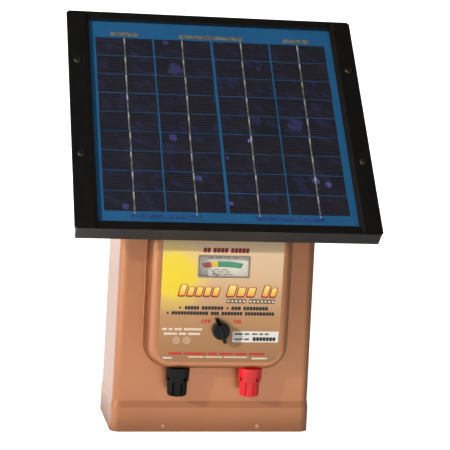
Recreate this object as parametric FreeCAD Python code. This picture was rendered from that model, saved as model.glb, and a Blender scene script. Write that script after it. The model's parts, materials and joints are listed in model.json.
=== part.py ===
import FreeCAD, Part
import math
import os

# Solar fence energizer: a moulded case with a front control module, two screw terminals and a
# framed solar panel carried above the roof at 45 degrees. Millimetres, +Z up. The origin is the
# centre of the base on the ground. The front faces -Y and +X is to the right of a person facing it.

V = FreeCAD.Vector

# ------------------------------------------------------------------ driving dimensions
# Case moulding
case_front_y = -48.0
case_back_y = 48.0
case_front_half = 108.4        # half width of the front wall at the ground
case_back_half = 111.0         # half width of the rear wall at the ground
case_draft = 0.011             # each side leans in this much per mm of height
case_wall = 3.0
case_corner_radius = 9.0
skirt_height = 35.0
skirt_step = 1.2               # how far the skirt stands proud of the walls
skirt_slope = 8.0              # height over which the skirt slopes in to meet the walls
loft_top = 370.0               # higher than the roof; the roof plane trims it
beyond = 130.0                 # past the case on every side, for trimming shapes
clearance = 0.1                # air between fixed neighbours
over = 1.0                     # how far a cutting shape runs past the face it cuts
weld = 0.5                     # how far a joined feature runs into its neighbour
fit = 0.01                     # air between parts that are pressed or screwed together
near = 0.01                    # closeness that counts as lying on a face, when picking edges
steep = 0.9                    # share of an edge's direction that counts as along an axis
screw_head_share = 0.55        # height of a pan head over its radius
screw_round_share = 0.4        # rounding of a pan head over its radius
screw_slot_half = 0.4
screw_slot_depth = 0.6

# Solar panel, in its own frame: x across, s up the slope, n out of the top face
panel_tilt = 45.0
panel_front_y = -114.5         # top front edge of the panel
panel_front_z = 235.0
panel_half = 162.0
panel_length = 295.0
rail_depth = 18.0
rail_wall = 2.0
flange_flat = 19.5             # flat part of a side rail's top face
flange_lip = 24.5              # side rail's top face with its bevel
flange_overhang = 1.8
end_lip = 10.0
lip_drop = 3.0
slot_depth = 7.8
shelf_bottom = 9.3
slot_end = 16.0
side_foot = 15.0               # width of a side rail under the panel
side_box = 13.0                # width of a side rail's hollow section with its inner wall
bevel_edge = 0.4               # thickness of the rails' bevelled lip
end_slot = 4.0
end_shelf = 12.0
laminate_low = 4.5             # s of the glass's lower edge
laminate_gap = 0.5             # air between the glass's side edge and the slot
seal_width = 6.0
glass_thickness = 3.2
ribbon_thickness = 0.2
cell_thickness = 0.3
backsheet_thickness = 0.6
cell_width = 62.5
cell_height = 25.0
cell_side_gap = 2.6
cell_centre_gap = 4.2
cell_row_gap = 1.25
cell_rows = 9
cell_field_start = 27.5        # s of the lowest row's lower edge
ribbon_width = 2.0
bus_width = 5.0
bus_gap = 3.0                  # between the cells and the bus strips
bus_overhang = 15.0            # from a column's middle to the end of an outer strip
bus_stub = 4.0                 # from a column's middle to the end of an inner strip

# Roof and panel brackets
roof_n = -36.5                 # n of the roof's outer face
bracket_sheet = 2.5
bracket_web_x = 95.0
bracket_inner_x = 64.0
bracket_outer_x = 159.0
bracket_flange_s = (76.0, 242.0)
bracket_foot_s = (66.0, 184.0)
panel_screw_x = 152.0
panel_screw_s = (95.0, 223.0)
panel_screw_hole = 2.6
panel_screw_head = 4.2
panel_screw_shank = 2.45
panel_screw_tail = 6.5         # thread past the bracket
panel_nut_flats = 8.0
panel_nut_height = 4.0
bracket_bolt_x = 80.0
bracket_bolt_s = (85.0, 165.0)
bolt_radius = 2.95             # M6
bolt_hole = 3.3
bolt_washer_radius = 6.0
bolt_washer = 1.2
bolt_head_flats = 10.0
bolt_head = 4.0
bolt_reach = 12.0
insert_bore_radius = 3.0
insert_radius = 4.2
insert_length = 12.0
boss_radius = 7.0
rear_mount_x = 60.0
rear_mount_z = (130.0, 270.0)

# Front module
module_depth = 27.8            # from the case front to the module's face
module_half = 76.6
module_bottom = 76.0
module_top = 236.0
module_corner = 26.0
module_draft = 2.0             # inset of the face on each side
module_edge_radius = 8.0
module_wall = 3.0
gasket_thickness = 1.0
gasket_inset = 0.4             # from the module's edge to the gasket's
gasket_reveal = 0.6            # from the opening's edge to the gasket's
rim_gap = 1.2
rim_width = 2.2
rim_height = 2.2
rim_edge_radius = 1.0
opening_half = 61.0
opening_bottom = 86.0
opening_top = 224.0
opening_corner = 6.0
label_half = 65.0
label_bottom = 86.0
label_top = 228.0
label_corner = 11.0
label_thickness = 0.2
module_screw_x = 66.5
module_screw_z = (100.0, 155.0, 210.0)
module_screw_hole = 2.2
module_screw_head = 3.6
module_screw_shank = 1.75
module_screw_length = 14.0
module_pilot = 1.8
module_post_radius = 4.0
pilot_depth = 14.0
sticker_x = 39.0
sticker_half = 25.0
sticker_bottom = 108.0
sticker_top = 120.0
sticker_corner = 0.8
sticker_thickness = 0.1

# Meter
meter_x = 1.0
meter_half = 27.8
meter_bottom = 178.0
meter_top = 202.0
meter_bezel_face = 1.6
meter_corner = 1.4
meter_sight_corner = 0.8
bezel_stand = 0.4              # the bezel's face stands this far in front of the label
window_setback = 1.2
window_thickness = 1.5
window_rebate = 0.8            # how far the rebate for the window cuts into the bezel
meter_pivot_z = 173.0
needle_reach = 23.5
needle_rest_angle = 47.0       # degrees to the left of upright
meter_case_half = 30.0
meter_case_bottom = 160.0
meter_case_top = 205.0
meter_case_depth = 17.0
meter_case_wall = 1.5
meter_case_corner = 3.0
dial_setback = 4.6
dial_thickness = 0.6
dial_margin = 2.0
dial_hole = 1.2
dial_post_x = 25.0
dial_post_inset = 6.0
dial_post_radius = 2.5
magnet_radius = 10.5
magnet_bore = 6.0
magnet_gap = 1.0
bridge_half = 6.5
bridge_half_height = 2.0
bridge_thickness = 1.5
staff_radius = 0.5
staff_bore = 0.55
staff_gap = 0.2
coil_radius = 5.4
coil_gap = 0.5                 # air in front of and behind the moving coil
needle_hub_radius = 2.2
needle_lift = 0.9              # air between the needle's hub and the dial
needle_hub_height = 1.0
needle_thickness = 0.3
needle_tail = 5.0
needle_root_half = 0.6
needle_tip_half = 0.2

# Switch and knob
knob_z = 122.0
knob_radius = 9.3
knob_height = 12.0
knob_bar_length = 28.0
knob_bar_width = 4.0
knob_bar_height = 15.0
knob_rest_angle = 21.0         # degrees to the left of upright
knob_shaft_radius = 3.0
knob_lift = 0.6                # air under the knob
knob_crown_radius = 1.5
knob_recess = 3.6
knob_recess_radius = 6.8
knob_bar_shoulder = 5.0        # drop from the bar's top to its ends
knob_bar_flat = 0.55           # share of the bar's length that is flat on top
knob_bar_edge = 0.8
bush_radius = 4.7
bush_length = 3.0              # in front of the label
switch_body_radius = 11.0
switch_body_depth = 18.0
switch_tag_half = 2.0
switch_tag_length = 4.0
switch_tag_sheet = 0.8
switch_tag_z = 6.0             # above and below the shaft
shaft_depth = 12.0
shaft_end = 1.5                # from the knob's front to the shaft's end
switch_nut_flats = 11.0
switch_nut_height = 2.0
set_screw_radius = 1.5
set_screw_recess = 1.2
set_screw_slot_half = 0.3
set_screw_drop = 7.5           # behind the label's face

# Screw terminals
terminal_x = 39.5              # either side of the pair's middle
terminal_shift = -1.7          # the pair's middle from the centre line
terminal_y = -63.5
collar_top = 77.6
collar_bottom = 62.9
collar_top_radius = 13.1
collar_bottom_radius = 12.3
collar_mouth_radius = 8.6
collar_mouth_top = 67.6
wire_hole_radius = 1.9
wire_hole_z = 65.4
wire_hole_turn = 30.0          # degrees to the right of straight ahead
stud_radius = 3.175
stud_top = 95.0
stud_bottom = 51.0
stud_hole_radius = 1.6
running_gap = 0.05
terminal_seat = 82.5           # top of the pad inside the module that the nut tightens on
terminal_pad_radius = 8.0
terminal_nut_flats = 11.0
terminal_nut_height = 5.0
lug_thickness = 1.0
lug_radius = 6.0
lug_tongue_half = 2.5
lug_barrel_radius = 2.2
lug_barrel_y = (8.5, 12.5)
cap_top = 62.6
cap_bottom = 46.3
cap_top_radius = 11.0
cap_bottom_radius = 10.6
cap_flutes = 8
flute_turn = 16.5              # degrees from the left and right to the nearest flute
cap_foot_radius = 1.2
cap_crown = 1.8                # thickness of the closed end
flute_radius = 2.4
flute_offset = 1.0             # flute centres lie this far outside the cap
flute_top = 2.6                # plain collar left above the flutes
cap_nose_radius = 7.2
washer_radius = 7.6
washer_thickness = 1.5

# Battery, board and base
pan_thickness = 2.5
pan_flange_height = 13.0
ledge_height = 3.0
ledge_width = 5.0
base_screw_x = 52.0
base_screw_z = 6.5
base_screw_head = 2.0
base_screw_shank = 1.25
base_screw_length = 9.0
base_screw_hole = 1.5
base_pilot = 1.3
pan_gap = 0.3
base_seal_gap = 0.5
battery_size = (151.0, 65.0, 94.0)
battery_y = 4.0
board_y = -46.0                # front face of the circuit board
board_thickness = 1.6
board_half = 58.0
board_bottom = 93.5
board_top = 208.0
board_screw_x = 53.0
board_screw_z = (98.5, 203.0)
board_post_radius = 3.5
board_pilot = 1.5
board_screw_hole = 1.7
board_screw_head = 2.8
board_screw_shank = 1.45
board_screw_length = 12.0
battery_corner = 2.0
battery_lid_height = 11.0      # from the battery's top down to the seam of its lid
battery_seam = 1.0
battery_seam_depth = 0.8
tab_x = 66.0
tab_half = 3.2
tab_sheet = 0.8
tab_height = 7.0
tab_y = (-6.0, 3.0)            # from the battery's centre line
strap_sheet = 1.5
strap_half = 15.0
strap_foot = 13.0
strap_hook = 4.0
strap_screw_x = 8.0
strap_screw_inset = 6.5
strap_screw_hole = 2.1
strap_screw_head = 3.2
strap_screw_shank = 1.55
strap_screw_length = 3.7
strap_pilot = 1.6

# Transformer and parts on the board
transformer_x = -25.0
transformer_z = 140.0
core_size = (54.0, 24.0, 45.0)
core_stand = 6.5
centre_leg = 16.0
window_size = (11.0, 27.0)
coil_wrap = 6.0
winding_gap = 0.3
winding_lining = 0.1
capacitor_x = (18.0, 44.0)
capacitor_z = 128.0
capacitor_radius = 11.5
capacitor_length = 38.0
capacitor_edge = 1.5
thyristor_x = (22.0, 32.0)
thyristor_z = (160.3, 164.9)
thyristor_stand = 4.0
thyristor_height = 15.0
leg_pitch = 2.54
leg_width = 0.8
leg_thickness = 0.6

# Junction box, cable and leads
junction_half = 32.0
junction_s = (150.0, 192.0)
junction_depth = 15.0
junction_wall = 2.0
cable_radius = 2.8
cable_bend = 12.0
cable_tail = 14.0
cable_drop = 8.0               # from the backsheet to the cable's centre
cable_inside = 8.0             # length of cable inside the junction box
gland_radius = 6.0
gland_s = 108.0
gland_nut = 7.0
gland_flats = 15.0
gland_back_nut = 4.0
gland_tail = 2.0
gland_clearance = 0.3
lead_radius = 1.2
lead_bend = 3.0
lead_start = V(0, 13.3, 2.35)  # from the lug's ring to the lead's end in the barrel
lead_entry = V(0, 14.2, 4.26)  # through the case wall, under the board's edge
lead_climb = 9.5               # heights above the battery
lead_cross = 13.5
coil_lead_x = 8.0
coil_lead_run = V(0, 3.5, 0)
lead_gap = 0.6                 # between a lead's end and what it is soldered to
tab_lead_rise = 4.0
tab_lead_run = V(0, -12, 1)
board_lead_x = 50.0
board_lead_z = 14.0            # above the board's lower edge
board_lead_run = V(0, 12, 0)

# ------------------------------------------------------------------ places that follow from them
module_back = case_front_y - gasket_thickness
module_face = case_front_y - module_depth
module_inner_face = module_face + module_wall
label_front = module_face - label_thickness
bezel_front = label_front - bezel_stand
window_front = bezel_front + window_setback
meter_case_front = module_inner_face
meter_case_back = meter_case_front + meter_case_depth
dial_front = meter_case_front + dial_setback
bush_front = label_front - bush_length
switch_back = module_inner_face + switch_body_depth
knob_back = label_front - knob_lift
knob_front = label_front - knob_height
set_screw_y = label_front - set_screw_drop
washer_top = collar_mouth_top - 4 * running_gap
nose_top = washer_top - washer_thickness - running_gap
lug_low = terminal_seat + terminal_nut_height + running_gap
upper_nut_low = lug_low + lug_thickness + 3 * running_gap
board_back = board_y + board_thickness
core_front = board_back + core_stand
core_back = core_front + core_size[1]
coil_back = core_back + coil_wrap
battery_low = pan_thickness
battery_high = battery_low + battery_size[2]
battery_front = battery_y - battery_size[1] / 2
battery_back = battery_y + battery_size[1] / 2
strap_screw_y = battery_front - strap_sheet - strap_screw_inset
glass_top = -lip_drop - running_gap
ribbon_top = glass_top - glass_thickness
cell_top = ribbon_top - ribbon_thickness
backsheet_top = cell_top - cell_thickness
backsheet_bottom = backsheet_top - backsheet_thickness
laminate_half = panel_half - slot_end - laminate_gap
junction_bottom = backsheet_bottom - junction_depth
cable_n = backsheet_bottom - cable_drop


# ------------------------------------------------------------------ shape helpers
def block(x, y, z):
    """Box between (low, high) pairs."""
    return Part.makeBox(x[1] - x[0], y[1] - y[0], z[1] - z[0], V(x[0], y[0], z[0]))


def rod(radius, start, end):
    """Cylinder between two points."""
    axis = end - start
    return Part.makeCylinder(radius, axis.Length, start, axis)


def taper(radius_a, radius_b, start, end):
    """Cone frustum between two points."""
    axis = end - start
    return Part.makeCone(radius_a, radius_b, axis.Length, start, axis)


def tube(outer, inner, start, end):
    return rod(outer, start, end).cut(rod(inner, start, end))


def prism(points, sweep):
    """Closed outline of points, swept along a vector."""
    return Part.Face(Part.makePolygon(points + points[:1])).extrude(sweep)


def hexagon(across_flats, start, end):
    """Hexagonal prism along the line from start to end."""
    axis = end - start
    radius = across_flats / math.sqrt(3)
    turns = [math.pi / 3 * index for index in range(6)]
    corners = [V(radius * math.cos(turn), radius * math.sin(turn), 0) for turn in turns]
    solid = prism(corners, V(0, 0, axis.Length))
    solid.Placement = FreeCAD.Placement(start, FreeCAD.Rotation(V(0, 0, 1), axis))
    return solid


def rounded_wire(half, low, high, radius, y, x=0.0):
    """Rounded rectangle in the plane at y, centred on x."""
    left, right = x - half, x + half
    diagonal = radius * (1 - math.sqrt(0.5))

    def corner(a, middle, b):
        return Part.Arc(V(a[0], y, a[1]), V(middle[0], y, middle[1]), V(b[0], y, b[1])).toShape()

    def side(a, b):
        return Part.makeLine(V(a[0], y, a[1]), V(b[0], y, b[1]))

    return Part.Wire([
        side((left + radius, low), (right - radius, low)),
        corner((right - radius, low), (right - diagonal, low + diagonal), (right, low + radius)),
        side((right, low + radius), (right, high - radius)),
        corner((right, high - radius), (right - diagonal, high - diagonal), (right - radius, high)),
        side((right - radius, high), (left + radius, high)),
        corner((left + radius, high), (left + diagonal, high - diagonal), (left, high - radius)),
        side((left, high - radius), (left, low + radius)),
        corner((left, low + radius), (left + diagonal, low + diagonal), (left + radius, low)),
    ])


def rounded_plate(half, low, high, radius, y_front, y_back, x=0.0):
    face = Part.Face(rounded_wire(half, low, high, radius, y_front, x))
    return face.extrude(V(0, y_back - y_front, 0))


def edges_near(shape, test):
    """Edges whose midpoint and direction pass a test."""
    chosen = []
    for edge in shape.Edges:
        middle = edge.valueAt((edge.FirstParameter + edge.LastParameter) / 2)
        along = edge.tangentAt((edge.FirstParameter + edge.LastParameter) / 2)
        if test(middle, along):
            chosen.append(edge)
    return chosen


def fuse_all(first, others):
    return first.multiFuse(others).removeSplitter()


def cut_all(shape, cutters):
    return shape.cut(Part.makeCompound(cutters))


def mirrored(shape):
    """Mirror image to the other side of the middle."""
    return shape.mirror(V(0, 0, 0), V(1, 0, 0))


def tilted(shape):
    """Carries a shape from the panel's own frame to its place above the roof."""
    placed = shape.copy()
    tilt = FreeCAD.Rotation(V(1, 0, 0), panel_tilt)
    frame = FreeCAD.Placement(V(0, panel_front_y, panel_front_z), tilt)
    placed.Placement = frame.multiply(shape.Placement)
    return placed


def turned(shape, angle, x, z):
    """Turns a shape about the Y line through (x, z); positive is clockwise from the front."""
    placed = shape.copy()
    placed.rotate(V(x, 0, z), V(0, 1, 0), angle)
    return placed


def cable(radius, bend, points):
    """Round cable of straight runs between points, with a bend at each corner."""
    runs = []
    start = points[0]
    for before, corner, after in zip(points, points[1:], points[2:]):
        into = (corner - before).normalize()
        out = (after - corner).normalize()
        half_turn = into.getAngle(out) / 2
        trim = bend * math.tan(half_turn)
        inward = (out - into).normalize()
        middle = corner + inward * (bend / math.cos(half_turn) - bend)
        entry = corner - into * trim
        leave = corner + out * trim
        runs.append(Part.makeLine(start, entry))
        runs.append(Part.Arc(entry, middle, leave).toShape())
        start = leave
    runs.append(Part.makeLine(start, points[-1]))
    ring = Part.makeCircle(radius, points[0], points[1] - points[0])
    return Part.Wire(runs).makePipe(Part.Face(Part.Wire(ring)))


# ------------------------------------------------------------------ case moulding
def plane_height(n, y):
    """Height at y of the plane parallel to the panel at n."""
    return panel_front_z - panel_front_y + y + n * math.sqrt(2)


def tapered_walls(inset, low, high):
    """Straight-sided block of the case, its four walls moved in by inset."""
    front = case_front_y + inset
    back = case_back_y - inset

    def ring(z):
        front_half = case_front_half - inset - case_draft * z
        back_half = case_back_half - inset - case_draft * z
        corners = [V(-front_half, front, z), V(front_half, front, z), V(back_half, back, z),
                   V(-back_half, back, z)]
        return Part.makePolygon(corners + corners[:1])

    return Part.makeLoft([ring(low), ring(high)], True, True)


def case_block(inset, low, roof):
    """Block of the case under its 45-degree roof, with every edge above the floor rounded."""
    front = case_front_y + inset - over
    back = case_back_y - inset + over
    profile = [V(-beyond, front, low), V(-beyond, back, low), V(-beyond, back, plane_height(roof, back)),
               V(-beyond, front, plane_height(roof, front))]
    trimmed = tapered_walls(inset, low, loft_top).common(prism(profile, V(2 * beyond, 0, 0)))
    edges = edges_near(trimmed, lambda middle, along: middle.z > low + near)
    return trimmed.makeFillet(case_corner_radius - inset, edges)


def skirt_block(inset, high):
    """Block of the skirt, with rounded corners."""
    walls = tapered_walls(inset, 0, high)
    upright = edges_near(walls, lambda middle, along: abs(along.z) > steep)
    return walls.makeFillet(case_corner_radius - inset, upright)


def top_outline(solid):
    """Outline of the flat face on top of a solid."""
    return max(solid.Faces, key=lambda face: face.CenterOfMass.z).OuterWire


def below(high):
    """Slab that covers everything under a height, for trimming rings to it."""
    return block((-beyond, beyond), (-beyond, beyond), (-over, high))


def bracket_bolt_places():
    return [(side * bracket_bolt_x, s) for side in (-1, 1) for s in bracket_bolt_s]


def rear_mount_places():
    return [(side * rear_mount_x, z) for side in (-1, 1) for z in rear_mount_z]


def module_screw_places():
    return [(side * module_screw_x, z) for side in (-1, 1) for z in module_screw_z]


def base_screw_seats():
    """Where the base screws' heads sit on the skirt, and the way the screws point."""
    seats = []
    for x in (-base_screw_x, base_screw_x):
        seats.append((x, case_front_y - skirt_step, V(0, 1, 0)))
        seats.append((x, case_back_y + skirt_step, V(0, -1, 0)))
    return seats


def make_module_rim():
    """Rounded bead on the front wall that frames the module."""
    reach = rim_gap + rim_width
    front = case_front_y - rim_height
    plate = rounded_plate(module_half + reach, module_bottom - reach, module_top + reach,
                          module_corner + reach, front, case_front_y + over)
    hole = rounded_plate(module_half + rim_gap, module_bottom - rim_gap, module_top + rim_gap,
                         module_corner + rim_gap, front - over, case_front_y)
    rim = plate.cut(hole)
    return rim.makeFillet(rim_edge_radius, edges_near(rim, lambda middle, along: middle.y < front + near))


def make_case_shell():
    outer = case_block(0, 0, roof_n)
    inner = case_block(case_wall, -over, roof_n - case_wall)
    skirt = skirt_block(-skirt_step, skirt_height - skirt_slope)
    slope_end = skirt_block(running_gap, skirt_height)
    slope = Part.makeLoft([top_outline(skirt), top_outline(slope_end)], True, True)
    shell = outer.multiFuse([skirt, slope]).cut(inner)
    # Ledge inside the skirt that the base pan's seal presses against
    ledge_low = pan_flange_height + gasket_thickness * 2
    ledge_high = ledge_low + ledge_height
    ledge = skirt_block(case_wall - weld, ledge_high)
    ledge = ledge.cut(skirt_block(case_wall + ledge_width, ledge_high + over)).cut(below(ledge_low))
    additions = [ledge, make_module_rim()]
    boss_length = insert_length + case_wall
    for x, s in bracket_bolt_places():
        root = V(x, s, roof_n - case_wall + weld)
        additions.append(tilted(rod(boss_radius, root, V(x, s, roof_n - boss_length))))
    for x, z in rear_mount_places():
        root = V(x, case_back_y - case_wall + weld, z)
        additions.append(rod(boss_radius, root, V(x, case_back_y - boss_length, z)))
    shell = fuse_all(shell, additions)
    wall_front = case_front_y - over
    wall_inside = case_front_y + case_wall + over
    cuts = [rounded_plate(opening_half, opening_bottom, opening_top, opening_corner, wall_front, wall_inside)]
    for x, z in module_screw_places():
        cuts.append(rod(module_screw_hole, V(x, wall_front, z), V(x, wall_inside, z)))
    for x, s in bracket_bolt_places():
        cuts.append(tilted(rod(insert_radius, V(x, s, roof_n + over), V(x, s, roof_n - insert_length))))
    for x, z in rear_mount_places():
        mouth = V(x, case_back_y + over, z)
        cuts.append(rod(insert_radius, mouth, V(x, case_back_y - insert_length, z)))
    for x, y, inward in base_screw_seats():
        seat = V(x, y, base_screw_z)
        cuts.append(rod(base_screw_hole, seat - inward * over, seat + inward * base_screw_length))
    gland_mouth = V(0, gland_s, roof_n + over)
    gland_inside = V(0, gland_s, roof_n - case_wall - over)
    cuts.append(tilted(rod(gland_radius + clearance, gland_mouth, gland_inside)))
    return cut_all(shell, cuts)


def make_base_pan():
    inset = case_wall + pan_gap
    pan = skirt_block(inset, pan_flange_height)
    hollow = skirt_block(inset + pan_thickness, pan_flange_height + over)
    hollow = hollow.cut(below(pan_thickness))
    holes = []
    for x in (-base_screw_x, base_screw_x):
        holes.append(rod(base_pilot, V(x, case_front_y, base_screw_z), V(x, case_back_y, base_screw_z)))
    for x in (-strap_screw_x, strap_screw_x):
        bottom = V(x, strap_screw_y, -over)
        holes.append(rod(strap_pilot, bottom, V(x, strap_screw_y, pan_thickness + over)))
    return cut_all(pan.cut(hollow), holes)


def make_base_gasket():
    low = pan_flange_height
    high = low + gasket_thickness * 2
    ring = skirt_block(case_wall + base_seal_gap, high)
    return ring.cut(skirt_block(case_wall + ledge_width, high + over)).cut(below(low))


def pan_head_screw(point, inward, head_radius, shank_radius, length):
    """Pan head screw: the head stands outside point and the shank runs inward."""
    crown = point - inward * (head_radius * screw_head_share)
    head = rod(head_radius, crown, point)
    crown_edge = edges_near(head, lambda middle, along: (middle - crown).dot(inward) < near)
    head = head.makeFillet(head_radius * screw_round_share, crown_edge)
    shank = rod(shank_radius, point, point + inward * length)
    screw = head.fuse(shank).removeSplitter()
    across = V(1, 0, 0) if abs(inward.z) > steep else V(0, 0, 1)
    slot_axis = inward.cross(across)
    slot = block((-head_radius, head_radius), (-screw_slot_half, screw_slot_half),
                 (-screw_slot_depth, screw_slot_depth))
    turn = FreeCAD.Rotation(slot_axis, slot_axis.cross(inward), inward, "XYZ")
    slot.Placement = FreeCAD.Placement(crown, turn)
    return screw.cut(slot)


def make_base_screws():
    return Part.makeCompound([pan_head_screw(V(x, y, base_screw_z), inward, base_screw_head,
                                             base_screw_shank, base_screw_length)
                              for x, y, inward in base_screw_seats()])


def threaded_insert(mouth, inward):
    inner_end = mouth + inward * (insert_length - clearance)
    return tube(insert_radius - fit, insert_bore_radius, mouth, inner_end)


def make_threaded_inserts():
    inserts = []
    for x, s in bracket_bolt_places():
        inserts.append(tilted(threaded_insert(V(x, s, roof_n), V(0, 0, -1))))
    for x, z in rear_mount_places():
        inserts.append(threaded_insert(V(x, case_back_y, z), V(0, -1, 0)))
    return Part.makeCompound(inserts)


# ------------------------------------------------------------------ front module
def module_form(inset, y_back, y_front, edge_radius):
    """Drafted, round-edged body of the front module, moved in by inset."""
    def ring(shrink, y):
        return rounded_wire(module_half - shrink, module_bottom + shrink, module_top - shrink,
                            module_corner - shrink, y)

    form = Part.makeLoft([ring(inset, y_back), ring(inset + module_draft, y_front)], True, True)
    return form.makeFillet(edge_radius, edges_near(form, lambda middle, along: middle.y < y_front + near))


def meter_opening(y_front, y_back):
    """Cutter for the bezel's seat."""
    return rounded_plate(meter_half + clearance, meter_bottom - clearance, meter_top + clearance,
                         meter_corner + clearance, y_front, y_back, meter_x)


def board_screw_places():
    return [(side * board_screw_x, z) for side in (-1, 1) for z in board_screw_z]


def make_module_housing():
    outer = module_form(0, module_back, module_face, module_edge_radius)
    inner = module_form(module_wall, module_back + weld, module_inner_face, module_edge_radius - module_wall)
    post_root = module_inner_face - over
    additions = []
    cuts = []
    for x, z in module_screw_places():
        additions.append(rod(module_post_radius, V(x, post_root, z), V(x, module_back, z)))
        cuts.append(rod(module_pilot, V(x, module_back - pilot_depth, z), V(x, module_back + over, z)))
    for x, z in board_screw_places():
        additions.append(rod(board_post_radius, V(x, post_root, z), V(x, board_y, z)))
        cuts.append(rod(board_pilot, V(x, board_y - pilot_depth, z), V(x, board_y + over, z)))
    for side in (-1, 1):
        pad_low = on_terminal(side, collar_top + weld)
        collar_low = on_terminal(side, collar_bottom)
        collar_high = on_terminal(side, collar_top)
        additions.append(rod(terminal_pad_radius, pad_low, on_terminal(side, terminal_seat)))
        cuts.append(rod(collar_top_radius + clearance, collar_low, collar_high))
        cuts.append(rod(stud_radius + clearance, collar_low, on_terminal(side, stud_top)))
    cuts.append(meter_opening(module_face - over, module_inner_face + over))
    shaft_front = V(0, module_face - over, knob_z)
    cuts.append(rod(bush_radius + clearance, shaft_front, V(0, module_inner_face + over, knob_z)))
    return cut_all(fuse_all(outer.cut(inner), additions), cuts)


def make_module_gasket():
    half = module_half - gasket_inset
    outer = rounded_plate(half, module_bottom + gasket_inset, module_top - gasket_inset,
                          module_corner - gasket_inset, module_back, case_front_y)
    front = module_back - over
    back = case_front_y + over
    inner = rounded_plate(opening_half + gasket_reveal, opening_bottom - gasket_reveal,
                          opening_top + gasket_reveal, opening_corner, front, back)
    holes = [rod(module_screw_hole, V(x, front, z), V(x, back, z)) for x, z in module_screw_places()]
    return cut_all(outer.cut(inner), holes)


def make_module_screws():
    seat = case_front_y + case_wall
    return Part.makeCompound([pan_head_screw(V(x, seat, z), V(0, -1, 0), module_screw_head,
                                             module_screw_shank, module_screw_length)
                              for x, z in module_screw_places()])


def make_face_label():
    label = rounded_plate(label_half, label_bottom, label_top, label_corner, label_front, module_face)
    front = label_front - over
    back = module_face + over
    bush_hole = rod(bush_radius + clearance, V(0, front, knob_z), V(0, back, knob_z))
    return label.cut(meter_opening(front, back)).cut(bush_hole)


def make_rating_sticker():
    return rounded_plate(sticker_half, sticker_bottom, sticker_top, sticker_corner,
                         label_front - sticker_thickness, label_front, sticker_x)


# ------------------------------------------------------------------ battery meter
def meter_plate(inset, corner, y_front, y_back):
    """Plate with the bezel's outline, moved in by inset."""
    return rounded_plate(meter_half - inset, meter_bottom + inset, meter_top - inset, corner,
                         y_front, y_back, meter_x)


def on_staff(y):
    """Point on the needle's axis."""
    return V(meter_x, y, meter_pivot_z)


def make_meter_bezel():
    """Rim round the window; it seats in the module's opening and holds the window in a rebate."""
    bezel = meter_plate(0, meter_corner, bezel_front, meter_case_front)
    back = meter_case_front + over
    sight = meter_plate(meter_bezel_face, meter_sight_corner, bezel_front - over, back)
    rebate = meter_plate(meter_bezel_face - window_rebate, meter_sight_corner, window_front, back)
    return bezel.cut(sight).cut(rebate)


def make_meter_window():
    inset = meter_bezel_face - window_rebate + running_gap
    return meter_plate(inset, meter_sight_corner, window_front, window_front + window_thickness)


def meter_case_plate(inset, y_front, y_back):
    """Plate with the outline of the meter's case, moved in by inset."""
    return rounded_plate(meter_case_half - inset, meter_case_bottom + inset, meter_case_top - inset,
                         meter_case_corner - inset, y_front, y_back, meter_x)


def make_meter_case():
    case = meter_case_plate(0, meter_case_front, meter_case_back)
    hollow = meter_case_plate(meter_case_wall, meter_case_front - over, meter_case_back - meter_case_wall)
    posts = []
    for x in (meter_x - dial_post_x, meter_x + dial_post_x):
        for z in (meter_case_bottom + dial_post_inset, meter_case_top - dial_post_inset):
            seat = V(x, dial_front + dial_thickness, z)
            posts.append(rod(dial_post_radius, seat, V(x, meter_case_back, z)))
    return fuse_all(case.cut(hollow), posts)


def make_meter_dial():
    back = dial_front + dial_thickness
    plate = meter_case_plate(dial_margin, dial_front, back)
    return plate.cut(rod(dial_hole, on_staff(dial_front - over), on_staff(back + over)))


def make_meter_magnet():
    """Ring magnet of the movement, with the bearing bridge behind the coil."""
    front = dial_front + dial_thickness + magnet_gap
    back = meter_case_back - meter_case_wall
    ring = tube(magnet_radius, magnet_bore, on_staff(front), on_staff(back))
    bridge = block((meter_x - bridge_half, meter_x + bridge_half), (back - bridge_thickness, back),
                   (meter_pivot_z - bridge_half_height, meter_pivot_z + bridge_half_height))
    bore = rod(staff_bore, on_staff(front), on_staff(back + over))
    return ring.fuse(bridge).removeSplitter().cut(bore)


def make_meter_needle():
    hub_back = dial_front - needle_lift
    hub = rod(needle_hub_radius, on_staff(hub_back - needle_hub_height), on_staff(hub_back))
    blade_front = hub_back - (needle_hub_height + needle_thickness) / 2
    root = on_staff(blade_front) - V(0, 0, needle_tail)
    tip = on_staff(blade_front) + V(0, 0, needle_reach)
    blade = [root - V(needle_root_half, 0, 0), root + V(needle_root_half, 0, 0),
             tip + V(needle_tip_half, 0, 0), tip - V(needle_tip_half, 0, 0)]
    needle = hub.fuse(prism(blade, V(0, needle_thickness, 0))).removeSplitter()
    return turned(needle, -needle_rest_angle, meter_x, meter_pivot_z)


def make_meter_coil():
    """Moving coil on its staff, joined to the needle's hub through the dial."""
    case_inside = meter_case_back - meter_case_wall
    staff = rod(staff_radius, on_staff(dial_front - needle_lift), on_staff(case_inside - staff_gap))
    drum_front = dial_front + dial_thickness + magnet_gap + coil_gap
    drum = rod(coil_radius, on_staff(drum_front), on_staff(case_inside - bridge_thickness - coil_gap))
    return staff.fuse(drum).removeSplitter()


# ------------------------------------------------------------------ switch and knob
def on_shaft(y):
    """Point on the switch's axis."""
    return V(0, y, knob_z)


def make_switch_body():
    body = rod(switch_body_radius, on_shaft(module_inner_face), on_shaft(switch_back))
    additions = [rod(bush_radius, on_shaft(bush_front), on_shaft(module_inner_face))]
    tag_y = (switch_back, switch_back + switch_tag_length)
    for z in (knob_z - switch_tag_z, knob_z + switch_tag_z):
        additions.append(block((-switch_tag_half, switch_tag_half), tag_y,
                               (z - switch_tag_sheet / 2, z + switch_tag_sheet / 2)))
    bore = rod(knob_shaft_radius + running_gap, on_shaft(bush_front - over),
               on_shaft(module_inner_face + shaft_depth))
    return fuse_all(body, additions).cut(bore)


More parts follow.
